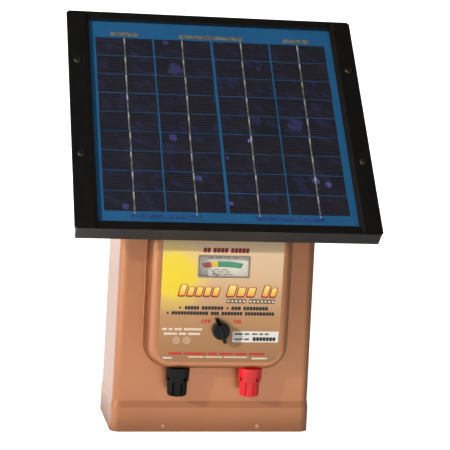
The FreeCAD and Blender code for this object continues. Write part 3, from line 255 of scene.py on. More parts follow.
def plain_metal(name, colour, rough, tarnish=None, metallic=1.0):
    """Plated or bare metal with a fine uneven finish and light tarnish."""
    s = Shader(name)
    streak = s.noise(900.0, 3.0, 0.6)
    stain = s.ramp(s.noise(160.0, 6.0, 0.65), [(0.45, 0.0), (0.75, 1.0)])
    base = s.mix(s.math("MULTIPLY", stain, 0.5), colour, tarnish or tuple(c * 0.6 for c in colour))
    roughness = s.math("MULTIPLY_ADD", streak, 0.25, rough - 0.1)
    normal = s.bump(streak, 0.12, 0.0001)
    return s.surface(Base_Color=base, Roughness=roughness, Normal=normal, Metallic=metallic)


def black_frame():
    """Satin black coated aluminium: fine texture and dust on the flats."""
    s = Shader("black_frame")
    base = s.ramp(s.noise(55.0, 5.0), [(0.3, srgb(15, 14, 12)), (0.7, srgb(21, 19, 16))])
    dust = s.ramp(s.noise(240.0, 8.0, 0.75), [(0.55, 0.0), (0.8, 1.0)])
    base = s.mix(s.math("MULTIPLY", dust, 0.06), base, srgb(120, 112, 98))
    rough = s.math("MULTIPLY_ADD", s.noise(130.0, 4.0), 0.2, 0.34)
    normal = s.bump(s.noise(1400.0, 2.0), 0.14, 0.0002)
    return s.surface(Base_Color=base, Roughness=rough, Normal=normal, Specular_IOR_Level=0.4)


def blue_backsheet():
    s = Shader("blue_backsheet")
    base = s.ramp(s.noise(26.0, 3.0), [(0.3, srgb(38, 104, 152)), (0.7, srgb(48, 114, 164))])
    weave = s.noise(700.0, 3.0)
    base = s.mix(s.math("MULTIPLY", weave, 0.15), base, srgb(66, 130, 178))
    return s.surface(Base_Color=base, Roughness=0.5, Normal=s.bump(weave, 0.1, 0.0002))


def silicon():
    """Polycrystalline cells: shard-like grains, a few grains with painted glints, fine printed fingers."""
    s = Shader("silicon")
    slope = s.along(UP_SLOPE)
    flat = s.node("ShaderNodeCombineXYZ", {"X": s.axis(0), "Y": slope}).outputs[0]
    shade = s.node("ShaderNodeAttribute", attribute_name="cell_shade", attribute_type="GEOMETRY")
    identity = shade.outputs["Fac"]
    inputs = {"X": s.axis(0), "Y": slope, "Z": s.math("MULTIPLY", identity, 3.0)}
    shifted = s.node("ShaderNodeCombineXYZ", inputs).outputs[0]
    inputs = {"Vector": shifted, "Angle": 0.6}
    leaning = s.node("ShaderNodeVectorRotate", inputs, rotation_type="Z_AXIS").outputs[0]
    shard = s.voronoi(95.0, s.scaled(1.0, 2.1, 1.0, leaning), "Color")
    pick = s.node("ShaderNodeSeparateColor", {"Color": shard}).outputs[0]
    base = s.ramp(pick, [(0.0, srgb(22, 22, 32)), (0.6, srgb(28, 26, 40)), (0.85, srgb(38, 36, 58)),
                            (1.0, srgb(44, 48, 92))])
    base = s.mix(s.math("MULTIPLY", identity, 0.35), base, srgb(26, 26, 36))
    speck = s.noise(620.0, 3.0, 0.7, flat)
    base = s.mix(s.math("MULTIPLY", s.ramp(speck, [(0.4, 0.0), (0.7, 1.0)]), 0.5), base, srgb(52, 48, 66))
    fine = s.voronoi(260.0, s.scaled(1.0, 1.6, 1.0, leaning), "Color")
    patchy = s.node("ShaderNodeSeparateColor", {"Color": fine}).outputs[0]
    # Painted glints: a few grains lightened towards violet-white where they catch the light.
    for x, along, reach, brightness in CRYSTAL_GLINTS:
        centre = Vector((x * MM, first_cell_slope() + (along - FIELD_START) * MM, 0))
        distance = s.distance_from(centre, flat)
        near = s.ramp(s.math("DIVIDE", distance, reach * MM), [(0.45, 1.0), (1.0, 0.0)])
        inside = s.ramp(s.math("MULTIPLY", near, s.math("ADD", patchy, 0.45)), [(0.45, 0.0), (0.55, 1.0)])
        base = s.mix(s.math("MULTIPLY", inside, brightness), base, srgb(150, 140, 255))
    phase = s.math("FRACT", s.math("DIVIDE", slope, FINGER_PITCH))
    finger = s.window(phase, 0.40, 0.60, 0.08)
    base = s.mix(s.math("MULTIPLY", finger, 0.42), base, srgb(126, 112, 112))
    edge_tint = s.noise(420.0, 3.0, vector=flat)
    rough = s.math("MULTIPLY_ADD", edge_tint, 0.15, 0.28)
    return s.surface(Base_Color=base, Roughness=rough, Specular_IOR_Level=0.5)


def tinned_ribbon():
    """Solder-coated ribbon: bright, lumpy and uneven, with painted shade over the lower part of each cell and
    where it dips between cells.
    """
    s = Shader("tinned_ribbon")
    lump = s.noise(260.0, 4.0, 0.6)
    climbed = s.math("SUBTRACT", s.along(UP_SLOPE), first_cell_slope())
    phase = s.math("FRACT", s.math("DIVIDE", climbed, CELL_PITCH * MM))
    # Painted shade: darker over the lower part of each cell pitch and where the ribbon dips between cells.
    # This leaves a bright stretch near each cell's top as a painted highlight. Lumps also darken it at
    # random.
    lumps_and_painted_shade = s.math("ADD", s.ramp(phase, [(0.55, 0.75), (0.72, 0.0)]), s.ramp(lump, [(0.45, 0.0), (0.6, 0.5)]))
    lumps_and_painted_shade = s.clamp(s.math("ADD", lumps_and_painted_shade, s.window(phase, 0.93, 1.1, 0.02)))
    base = s.mix(s.math("MULTIPLY", lumps_and_painted_shade, 0.85), srgb(246, 238, 220), srgb(92, 84, 80))
    rough = s.math("MULTIPLY_ADD", lump, 0.3, 0.3)
    return s.surface(Base_Color=base, Roughness=rough, Metallic=0.25, Normal=s.bump(lump, 0.3, 0.0003))


def film_covered():
    """Bus strip under a strip of the blue film."""
    s = Shader("film_covered")
    wrinkle = s.noise(180.0, 4.0, 0.6)
    base = s.ramp(wrinkle, [(0.35, srgb(44, 78, 132)), (0.7, srgb(70, 108, 166))])
    return s.surface(Base_Color=base, Roughness=0.35, Normal=s.bump(wrinkle, 0.3, 0.0003))


def panel_glass():
    """Clear glass seen as a thin sheet: what is under it shows, with a faint reflection and dust."""
    s = Shader("panel_glass")
    clear = s.node("ShaderNodeBsdfTransparent", {"Color": (0.93, 0.96, 0.97, 1)}).outputs[0]
    dust_mask = s.ramp(s.noise(38.0, 8.0, 0.7), [(0.50, 0.0), (0.9, 1.0)])
    rough = s.math("MULTIPLY_ADD", dust_mask, 0.12, 0.05)
    gloss = s.node("ShaderNodeBsdfGlossy", {"Color": (1, 1, 1, 1), "Roughness": rough}).outputs[0]
    sheet = s.node("ShaderNodeMixShader", {0: s.sheet_gloss(0.03), 1: clear, 2: gloss}).outputs[0]
    dust = s.node("ShaderNodeBsdfDiffuse", {"Color": (*srgb(170, 160, 150), 1)}).outputs[0]
    made = s.node("ShaderNodeMixShader", {0: s.math("MULTIPLY", dust_mask, 0.02), 1: sheet, 2: dust})
    s.tree.links.new(made.outputs[0], s.out.inputs["Surface"])
    return s.material


def clear_window():
    s = Shader("clear_window")
    clear = s.node("ShaderNodeBsdfTransparent", {"Color": (0.97, 0.97, 0.96, 1)}).outputs[0]
    rough = s.math("MULTIPLY_ADD", s.noise(300.0, 4.0), 0.06, 0.03)
    gloss = s.node("ShaderNodeBsdfGlossy", {"Color": (1, 1, 1, 1), "Roughness": rough}).outputs[0]
    made = s.node("ShaderNodeMixShader", {0: s.sheet_gloss(0.035), 1: clear, 2: gloss})
    s.tree.links.new(made.outputs[0], s.out.inputs["Surface"])
    return s.material


def label_film():
    """Printed film: pale tan above to deep tan below, with a soft yellow sun at the left."""
    s = Shader("label_film")
    height = s.share(s.axis(2), label_low.z, label_high.z)
    base = s.ramp(height, [(0.0, srgb(160, 113, 73)), (0.35, srgb(194, 147, 102)),
                           (0.65, srgb(229, 193, 152)), (1.0, srgb(238, 210, 172))])
    distance = s.distance_from(SUN_CENTRE, s.scaled(1, 0, 1))
    fade = [(0.0, 1.0), (0.42, 0.92), (0.72, 0.35), (1.0, 0.0)]
    glow = s.ramp(s.math("DIVIDE", distance, SUN_RADIUS), fade, "EASE")
    base = s.mix(glow, base, srgb(250, 222, 48))
    dots = s.noise(1300.0, 2.0)
    base = s.mix(s.math("MULTIPLY", dots, 0.06), base, srgb(150, 110, 70))
    rough = s.math("MULTIPLY_ADD", s.noise(90.0, 5.0), 0.12, 0.30)
    normal = s.bump(s.noise(34.0, 3.0), 0.06, 0.0008)
    return s.surface(Base_Color=base, Roughness=rough, Normal=normal, Specular_IOR_Level=0.45)


def paper_white():
    s = Shader("white_label")
    base = s.ramp(s.noise(150.0, 4.0), [(0.3, srgb(232, 228, 218)), (0.7, srgb(246, 243, 236))])
    return s.surface(Base_Color=base, Roughness=0.5, Normal=s.bump(s.noise(1200.0, 3.0), 0.1, 0.0001))


def dial_print():
    s = Shader("dial_print")
    base = s.ramp(s.noise(90.0, 4.0), [(0.3, srgb(250, 242, 228)), (0.7, srgb(255, 250, 240))])
    return s.surface(Base_Color=base, Roughness=0.55, Normal=s.bump(s.noise(1500.0, 2.0), 0.08, 0.0001))


def winding_copper():
    """Enamelled winding: close turns running round the coil."""
    s = Shader("coil_copper")
    turn = s.math("SINE", s.math("MULTIPLY", s.axis(2), 6000.0))
    base = s.ramp(s.noise(200.0, 3.0), [(0.3, srgb(150, 74, 34)), (0.7, srgb(196, 112, 60))])
    return s.surface(Base_Color=base, Roughness=0.3, Metallic=0.8, Normal=s.bump(turn, 0.5, 0.0003))


def board_green():
    s = Shader("board_green")
    trace = s.ramp(s.voronoi(260.0, s.scaled(1, 1, 0.35)), [(0.25, 0.0), (0.3, 1.0)])
    base = s.mix(s.math("MULTIPLY", trace, 0.4), srgb(14, 70, 38), srgb(30, 104, 58))
    return s.surface(Base_Color=base, Roughness=0.35, Normal=s.bump(trace, 0.2, 0.0001))


def laminations():
    """Edge-on laminated core: fine stripes along the stack."""
    s = Shader("core_laminations")
    stripe = s.math("SINE", s.math("MULTIPLY", s.axis(1), 9000.0))
    base = s.ramp(s.noise(120.0, 5.0), [(0.3, srgb(60, 62, 66)), (0.7, srgb(92, 92, 94))])
    return s.surface(Base_Color=base, Roughness=0.45, Metallic=0.7, Normal=s.bump(stripe, 0.35, 0.0002))


def ink(name, colour):
    """Screen-printed ink: slightly uneven coverage."""
    s = Shader(name)
    cover = s.noise(1600.0, 3.0)
    base = s.mix(s.math("MULTIPLY", cover, 0.12), colour, tuple(min(1.0, c * 1.4 + 0.01) for c in colour))
    return s.surface(Base_Color=base, Roughness=0.4, Normal=s.bump(cover, 0.1, 0.0001))


def graded_ink(name, low, high, foot, head):
    """Ink that changes colour from its foot to its head, heights in millimetres."""
    s = Shader(name)
    height = s.share(s.axis(2), low * MM, high * MM)
    cover = s.noise(1600.0, 3.0)
    base = s.mix(s.math("MULTIPLY", cover, 0.12), s.ramp(height, [(0.0, foot), (1.0, head)]), foot)
    return s.surface(Base_Color=base, Roughness=0.4, Normal=s.bump(cover, 0.1, 0.0001))


MATERIALS = {
    "tan_moulding": tan_moulding(),
    "base_plastic": plain_plastic("base_plastic", srgb(44, 42, 40), 0.55),
    "seal_rubber": plain_plastic("seal_rubber", srgb(30, 29, 28), 0.8, 1600.0, 0.3),
    "zinc_steel": plain_metal("zinc_steel", srgb(196, 194, 186), 0.34, tarnish=srgb(140, 134, 120)),
    "brass": plain_metal("brass", srgb(206, 168, 96), 0.3, tarnish=srgb(130, 96, 50)),
    "label_film": label_film(),
    "white_label": paper_white(),
    "meter_grey": plain_plastic("meter_grey", srgb(136, 128, 116), 0.4),
    "clear_window": clear_window(),
    "meter_black": plain_plastic("meter_black", srgb(26, 26, 26), 0.45),
    "dial_print": dial_print(),
    "magnet_steel": plain_metal("magnet_steel", srgb(88, 88, 90), 0.5),
    "needle_black": plain_plastic("needle_black", srgb(20, 18, 18), 0.4),
    "coil_copper": winding_copper(),
    "knob_black": plain_plastic("knob_black", srgb(3, 3, 3), 0.22, 1200.0, 0.06, Specular_IOR_Level=0.16,
                                 Coat_Weight=0.12, Coat_Roughness=0.1),
    "terminal_black": plain_plastic("terminal_black", srgb(5, 6, 4), 0.32, Specular_IOR_Level=0.14),
    "terminal_red": plain_plastic("terminal_red", srgb(224, 28, 34), 0.34, Subsurface_Weight=0.05),
    "board_green": board_green(),
    "core_laminations": laminations(),
    "capacitor_sleeve": plain_plastic("capacitor_sleeve", srgb(28, 52, 120), 0.3),
    "battery_plastic": plain_plastic("battery_plastic", srgb(56, 56, 60), 0.5),
    "lead_insulation": plain_plastic("lead_insulation", srgb(170, 26, 26), 0.4),
    "black_frame": black_frame(),
    "panel_glass": panel_glass(),
    "silicon": silicon(),
    "tinned_ribbon": tinned_ribbon(),
    "blue_backsheet": blue_backsheet(),
    "film_covered": film_covered(),
    "cable_black": plain_plastic("cable_black", srgb(22, 22, 22), 0.5, 700.0, 0.2),
    "tan_screw": plain_plastic("tan_screw", srgb(206, 160, 134), 0.34),
    "black_screw": plain_metal("black_screw", srgb(74, 66, 56), 0.42, tarnish=srgb(44, 38, 32), metallic=0.8),
}
INKS = {
    "black": ink("ink_black", srgb(24, 18, 14)),
    "dark_red": ink("ink_dark_red", srgb(122, 8, 16)),
    "red": ink("ink_red", srgb(200, 22, 28)),
    "yellow": ink("ink_yellow", srgb(247, 206, 44)),
    "green": ink("ink_green", srgb(16, 150, 112)),
    "sunset": graded_ink("ink_sunset", 158, 170, srgb(196, 36, 22), srgb(206, 70, 34)),
    "gold": graded_ink("ink_gold", 158, 169, srgb(240, 176, 64), srgb(252, 240, 140)),
    "white": ink("ink_white", srgb(236, 222, 200)),
    "grey": ink("ink_grey", srgb(150, 142, 130)),
}


def paint(thing, material):
    thing.data.materials.clear()
    thing.data.materials.append(material)


for entry in frame["record"]["subparts"]:
    paint(nodes[entry["node"]], MATERIALS[entry["material_slot"]])


# ------------------------------------------------------------------ mesh helpers
def mesh_from(name, bm, crisp_over=32.0):
    """Mesh with outward faces, smooth except where it turns sharply."""
    bmesh.ops.recalc_face_normals(bm, faces=bm.faces)
    mesh = bpy.data.meshes.new(name)
    bm.to_mesh(mesh)
    bm.free()
    mesh.polygons.foreach_set("use_smooth", [True] * len(mesh.polygons))
    mesh.set_sharp_from_angle(angle=math.radians(crisp_over))
    return mesh


def add_piece(mesh, body, material, *stands_for):
    """Puts a mesh on a body, in place of the CAD nodes it stands for."""
    piece = bpy.data.objects.new(mesh.name, mesh)
    bpy.context.scene.collection.objects.link(piece)
    paint(piece, material)
    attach(piece, body)
    if stands_for:
        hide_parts(*stands_for)
    return piece


def add_slab(bm, outline, place, depth):
    """Closed plate: an outline at level 0 and at depth, joined round its edge."""
    top = [bm.verts.new(place(u, v, depth)) for u, v in outline]
    bottom = [bm.verts.new(place(u, v, 0.0)) for u, v in outline]
    faces = [bm.faces.new(top), bm.faces.new(bottom[::-1])]
    for k in range(len(outline)):
        after = (k + 1) % len(outline)
        faces.append(bm.faces.new((top[k], bottom[k], bottom[after], top[after])))
    return faces


def add_ring(bm, centre, outer, inner, place, depth, steps=28):
    """Closed flat ring, elliptical if its two radii differ."""
    def loop(radii, level):
        angles = [2 * math.pi * k / steps for k in range(steps)]
        points = [(centre[0] + radii[0] * math.cos(a), centre[1] + radii[1] * math.sin(a)) for a in angles]
        return [bm.verts.new(place(u, v, level)) for u, v in points]

    loops = [loop(outer, depth), loop(inner, depth), loop(inner, 0.0), loop(outer, 0.0)]
    for near, far in zip(loops, loops[1:] + loops[:1]):
        for k in range(steps):
            after = (k + 1) % steps
            bm.faces.new((near[k], near[after], far[after], far[k]))


def add_turned(bm, rings, place):
    """Closed solid through rings of points, given as (level, radii) with one radius per angle."""
    made = []
    for level, radii in rings:
        count = len(radii)
        made.append([bm.verts.new(place(r * math.cos(a), r * math.sin(a), level)) for a, r in radii])
    for near, far in zip(made, made[1:]):
        for k in range(count):
            after = (k + 1) % count
            bm.faces.new((near[k], near[after], far[after], far[k]))
    bm.faces.new(made[0])
    bm.faces.new(made[-1][::-1])


def bar_outline(left, right, low, high, corner, slant=0.0):
    """Rounded bar whose top may lean over to the right."""
    outline = []
    corners = ((right - corner, high - corner, 0), (left + corner, high - corner, 90),
               (left + corner, low + corner, 180), (right - corner, low + corner, 270))
    for x, z, start in corners:
        for turn in (0, 30, 60, 90):
            angle = math.radians(start + turn)
            height = z + corner * math.sin(angle)
            outline.append((x + corner * math.cos(angle) + slant * (height - low), height))
    return outline


# ------------------------------------------------------------------ print on the label, sticker and dial
# Heights and places are in millimetres. A second layer of print sits half a depth above the first.
PRINT_DEPTH = 0.12
SECOND_LAYER = 0.06
THIRD_LAYER = 0.12
HEADING_Z = 207.6
LINE_Z = (145, 139.2)
TITLE_LOW = 157.4
TITLE_HIGH = 168.2
INITIAL_HIGH = 170.6
TITLE_SLANT = 0.25
SUBTITLE_Z = 152.8
SWITCH_Z = 130.4
RED_LINE_Z = 95
NOTE_Z = (121.6, 116.6)
RING_Z = 109.4
RING_X = (-46.5, -35.5)
FOOT_Z = (91.4, 90.2)
STICKER_Z = (117.0, 111.2)
CODE_Z = 111.6
label_front = label_low.y / MM
sticker_front = span("rating_sticker")[0].y / MM
dial_front = span("meter_dial")[0].y / MM


def on_plane(front):
    """Placer for print on an upright plane that faces the front; levels rise towards the viewer."""
    def place(x, z, level):
        return Vector((x, front - level, z)) * MM
    return place


def blocks(left, right, count, gap_share=0.11):
    """Splits a stretch of print into evenly spaced blocks."""
    pitch = (right - left) / count
    gap = pitch * gap_share
    return [(left + k * pitch + gap / 2, left + (k + 1) * pitch - gap / 2) for k in range(count)]


def row(words, z, height, slant=0.0, block_width=None):
    """Outlines for a line of plain print blocks: each word is (left, right)."""
    outlines = []
    low, high = z - height / 2, z + height / 2
    for left, right in words:
        count = max(1, round((right - left) / (block_width or height * 0.85)))
        for block_left, block_right in blocks(left, right, count):
            corner = min(0.22 * height, 0.3 * (block_right - block_left))
            outlines.append(bar_outline(block_left, block_right, low, high, corner, slant))
    return outlines


def add_print(name, ink_name, outlines, front, rings=(), base=0.0):
    """One piece of print on a plane that faces the front, raised by base above it."""
    bm = bmesh.new()
    place = on_plane(front - base)
    for outline in outlines:
        add_slab(bm, outline, place, PRINT_DEPTH)
    for centre, outer, inner in rings:
        add_ring(bm, centre, outer, inner, place, PRINT_DEPTH)
    return add_piece(mesh_from(name, bm), "case", INKS[ink_name])


def switch_letters(z):
    """OFF and ON marks beside the knob, as strokes and rings."""
    height, stroke, thin = 4.1, 1.2, 0.95
    low, high, middle = z - height / 2, z + height / 2, z + 0.25
    strokes = []
    rings = []

    def bar(left, right, foot, head):
        strokes.append([(left, foot), (right, foot), (right, head), (left, head)])

    def letter_o(x):
        rings.append(((x + 1.5, z), (1.6, height / 2), (0.7, height / 2 - thin)))

    def letter_f(x):
        bar(x, x + stroke, low, high)
        bar(x + stroke, x + 2.6, high - thin, high)
        bar(x + stroke, x + 2.2, middle - 0.45, middle + 0.45)

    def letter_n(x):
        inner, drop = x + 2.5, 1.3
        bar(x, x + stroke, low, high)
        bar(inner, inner + 1.0, low, high)
        strokes.append([(x + stroke, high), (x + stroke, high - drop), (inner, low), (inner, low + drop)])

    letter_o(-20.6)
    letter_f(-16.7)
    letter_f(-13.5)
    letter_o(14.6)
    letter_n(18.6)
    return strokes, rings


def shrunk(outline, share):
    """An outline pulled in towards its own middle."""
    middle_x = sum(x for x, z in outline) / len(outline)
    middle_z = sum(z for x, z in outline) / len(outline)
    return [(middle_x + (x - middle_x) * share, middle_z + (z - middle_z) * share) for x, z in outline]


def bullet(x, z, reach=1.1):
    return bar_outline(x - reach, x + reach, z - reach, z + reach, 0.5)


def make_text_lines():
    """Heading and two lines of plain blocks with bullets."""
    dark_red = row([(-22.5, -14.5), (-12, 4.5), (7, 27)], HEADING_Z, 5.2, 0.1)
    add_print("print_heading", "dark_red", dark_red, label_front)
    lines = row([(-39, -23.5), (-21, 2.5), (11, 21.5), (24, 51)], LINE_Z[0], 3.8)
    lines += [bullet(x, LINE_Z[0]) for x in (-44, 7)]
    lines += row([(-53, -13.5), (-11, -2), (0.5, 23.5), (26, 58)], LINE_Z[1], 3.8)
    lines.append(bullet(-57, LINE_Z[1]))
    add_print("print_lines", "black", lines, label_front)


def make_title():
    """Slanted title blocks, each a dark edge, a red body and a gold face, over a two-tone subtitle."""
    title = []
    for left, right, count in ((-48, -3, 5), (3.5, 36, 3), (42, 59, 2)):
        for index, (block_left, block_right) in enumerate(blocks(left, right, count, 0.17)):
            title.append((block_left, block_right, INITIAL_HIGH if index == 0 else TITLE_HIGH))
    low = TITLE_LOW
    edge = [bar_outline(a - 0.5, b + 0.1, low - 0.6, high - 0.1, 1.6, TITLE_SLANT) for a, b, high in title]
    body = [bar_outline(a, b, low, high, 1.5, TITLE_SLANT) for a, b, high in title]
    face = [bar_outline(a + 1.1, b - 0.6, low + 1.1, high - 0.7, 1.0, TITLE_SLANT) for a, b, high in title]
    add_print("title_edges", "black", edge, label_front)
    add_print("title_bodies", "sunset", body, label_front, base=SECOND_LAYER)
    add_print("title_faces", "gold", face, label_front, base=THIRD_LAYER)
    subtitle = row([(5, 26), (29, 57.5)], SUBTITLE_Z, 4.8, 0.2, 4.0)
    add_print("subtitle_blocks", "black", subtitle, label_front)
    inner = [shrunk(outline, 0.55) for outline in subtitle]
    add_print("subtitle_faces", "white", inner, label_front, base=SECOND_LAYER)


def make_small_print():
    """Switch marks, foot lines, notes, two plain rings, and the sticker's lines."""
    strokes, rings = switch_letters(SWITCH_Z)
    red_words = [(-54, -40), (-38, -14), (-12, -2), (1, 16), (18, 30), (33, 50)]
    strokes += row(red_words, RED_LINE_Z, 2.5, 0.0, 1.9)
    add_print("print_red", "red", strokes, label_front, rings)
    pale = row([(-62, -57), (-55, -51), (-49, -41), (-39, -19)], NOTE_Z[0], 2.5, 0.0, 1.9)
    pale += row([(-60, -46), (-44, -36), (-34, -21)], NOTE_Z[1], 2.5, 0.0, 1.9)
    pale += row([(-33, -16), (-14, 4), (6, 31)], FOOT_Z[0], 1.4, 0.0, 1.5)
    pale += row([(-60, -50), (36, 53)], FOOT_Z[1], 1.9, 0.0, 1.6)
    marks = []
    for outer, inner in ((3.6, 3.1), (1.7, 1.3)):
        marks += [((x, RING_Z), (outer, outer), (inner, inner)) for x in RING_X]
    add_print("print_pale", "white", pale, label_front, marks)
    small = row([(16, 25), (27, 32), (35, 41), (43, 47), (49, 53)], STICKER_Z[0], 1.8, 0.0, 1.3)
    small += row([(16, 25), (27, 32)], STICKER_Z[1], 1.8, 0.0, 1.3)
    small += row([(36, 61)], CODE_Z, 4.2, 0.0, 3.4)
    add_print("sticker_print", "black", small, sticker_front)


def make_dial_print():
    """Red, yellow and green zones, with fine lines of print above and below them."""
    def top(u):
        x = -21.5 + 43.7 * u
        return x, 194.4 - (x - 1) ** 2 / 200

    def bottom(u):
        x = -18.5 + 38.5 * u
        return x, 187.9 - (x - 1) ** 2 / 330

    def zone(start, end, steps=8):
        shares = [start + (end - start) * k / steps for k in range(steps + 1)]
        return [top(u) for u in shares] + [bottom(u) for u in reversed(shares)]

    add_print("dial_red_zone", "red", [zone(0.0, 0.21)], dial_front)
    add_print("dial_yellow_zone", "yellow", [zone(0.215, 0.395)], dial_front)
    add_print("dial_green_zone", "green", [zone(0.40, 1.0)], dial_front)
    def beside(point, across, up=0.0):
        return point[0] + across, point[1] + up

    start_tick = [top(0.0), bottom(0.0), beside(bottom(0.0), -0.7), beside(top(0.0), -0.9)]
    end_tick = [top(1.0), beside(top(1.0), 0.9, 0.3), beside(bottom(1.0), 0.6), bottom(1.0)]
    middle_tick = [(-4.3, 194.9), (-3.6, 194.9), (-3.1, 187.4), (-3.8, 187.4)]
    add_print("dial_ticks", "black", [start_tick, end_tick, middle_tick], dial_front, base=0.04)
    lines = row([(-15, -9), (-7, 0), (2, 9), (11, 18)], 198.0, 1.3, 0.0, 1.1)
    lines += row([(-9, -3), (-1, 6)], 185.2, 1.2, 0.0, 1.1)
    lines += row([(-10, -7), (-5, 2), (4, 9)], 182.7, 1.2, 0.0, 1.1)
    lines += row([(-11, 0), (2, 12)], 180.2, 1.2, 0.0, 1.1)
    add_print("dial_lines", "grey", lines, dial_front)


# ------------------------------------------------------------------ solar cells and ribbons
def on_panel(x, s, n):
    """Point on the panel from millimetres across, up the slope and out of it."""
    return panel_point(x * MM, s * MM, n * MM)


def cell_rows():
    return [FIELD_START + CELL_PITCH * k for k in range(CELL_ROWS)]


def make_cells():
    """Cut wafers with slightly uneven edges, each carrying its own shade."""
    chance = random.Random(12)
    bm = bmesh.new()
    shade = bm.faces.layers.float.new("cell_shade")

    def place(x, s, level):
        return on_panel(x, s, CELL_BACK + level)

    for x in CELL_COLUMNS:
        for low in cell_rows():
            left = x - CELL_WIDTH / 2 + chance.uniform(-0.25, 0.25)
            base = low + chance.uniform(-0.12, 0.12)
            outline = bar_outline(left, left + CELL_WIDTH, base, base + CELL_HEIGHT, 0.4)
            faces = add_slab(bm, outline, place, CELL_FRONT - CELL_BACK)
            value = chance.random()
            for face in faces:
                face[shade] = value
    add_piece(mesh_from("cell_wafers", bm), "case", MATERIALS["silicon"], "solar_cells")


def add_ribbon(bm, x, points):
    """Flat soldered ribbon with a low crown, through (s, crown) points."""
    shape = ((-0.5, 0.0), (-0.38, 0.72), (0.0, 1.0), (0.38, 0.72), (0.5, 0.0))
    rows_made = []
    for s, crown in points:
        places = [on_panel(x + across * RIBBON_WIDTH, s, CELL_FRONT + lift * crown) for across, lift in shape]
        rows_made.append([bm.verts.new(point) for point in places])
    for near, far in zip(rows_made, rows_made[1:]):
        for k in range(len(shape) - 1):
            bm.faces.new((near[k], near[k + 1], far[k + 1], far[k]))
        bm.faces.new((near[-1], near[0], far[0], far[-1]))
    bm.faces.new(rows_made[0])
    bm.faces.new(rows_made[-1][::-1])


def add_buses(bm, spans, low, width=5.0):
    """Bus strips across the slope, each from left to right."""
    def place(x, s, level):
        return on_panel(x, s, CELL_FRONT + level)

    for left, right in spans:
        add_slab(bm, bar_outline(left, right, low, low + width, 0.5), place, RIBBON_FRONT - CELL_FRONT)


def make_ribbons():
    """Ribbons soldered down each column, dipping under the next cell, and the bus strips they join."""
    chance = random.Random(5)
    depth = RIBBON_FRONT - CELL_FRONT
    bm = bmesh.new()
    rows_low = cell_rows()
    field_end = rows_low[-1] + CELL_HEIGHT
    lower_bus = FIELD_START - 8.5
    upper_bus = field_end + 3.0
    for x in CELL_COLUMNS:
        for low in rows_low:
            centre = x + chance.uniform(-0.3, 0.3)
            steps = [(low + 0.2, 0.35), (low + 1.2, 0.8)]
            steps += [(low + 1.2 + k * 2.6, 0.78 + chance.uniform(-0.2, 0.2)) for k in range(1, 9)]
            steps += [(low + CELL_HEIGHT - 1.0, 0.95), (low + CELL_HEIGHT + 0.9, 0.3)]
            add_ribbon(bm, centre, [(s, crown * depth) for s, crown in steps])
        add_ribbon(bm, x, [(lower_bus + 3.0, 0.9 * depth), (FIELD_START - 0.1, 0.6 * depth)])
        add_ribbon(bm, x, [(field_end + 1.0, 0.6 * depth), (upper_bus + 2.0, 0.9 * depth)])
    inner, outer = CELL_COLUMNS[2:]
    upper_spans = ((-outer - 15, -outer + 16), (-inner - 3, inner + 3), (outer - 16, outer + 15))
    lower_spans = ((-outer - 4, -inner + 5), (inner - 5, outer + 4))
    add_buses(bm, upper_spans, upper_bus)
    add_piece(mesh_from("soldered_ribbons", bm, 60.0), "case", MATERIALS["tinned_ribbon"], "cell_ribbons")
    covered = bmesh.new()
    add_buses(covered, lower_spans, lower_bus)
    add_piece(mesh_from("covered_buses", covered), "case", MATERIALS["film_covered"])


# ------------------------------------------------------------------ terminal caps
# Millimetres; the heights are above the cap's foot
CAP_RIBS = 8
CAP_SAMPLES = 20               # round each rib
CAP_FIRST_GROOVE = math.radians(16.5)
CAP_GROOVE_SHARE = 0.30        # of half a rib's pitch
CAP_GROOVE_DEPTH = 1.9
CAP_RADIUS = 10.6
CAP_TOP_RADIUS = 11.0
CAP_SHOULDER = 14.7
CAP_TOP = 16.3
CAP_CROWN = 1.8
CAP_NOSE_RADIUS = 7.2
CAP_BORE_RADIUS = 3.25


def cap_ring(z, radius, depth=0.0):
    """One level of a cap: radii all round, cut to a depth by narrow grooves."""
    made = []
    count = CAP_RIBS * CAP_SAMPLES
    for k in range(count):
        turn = (k + 0.5) / CAP_SAMPLES
        away = abs(turn - round(turn)) * 2
        groove = max(0.0, 1.0 - (away / CAP_GROOVE_SHARE) ** 4)
        made.append((CAP_FIRST_GROOVE + 2 * math.pi * (k + 0.5) / count, radius - depth * groove))
    return z, made


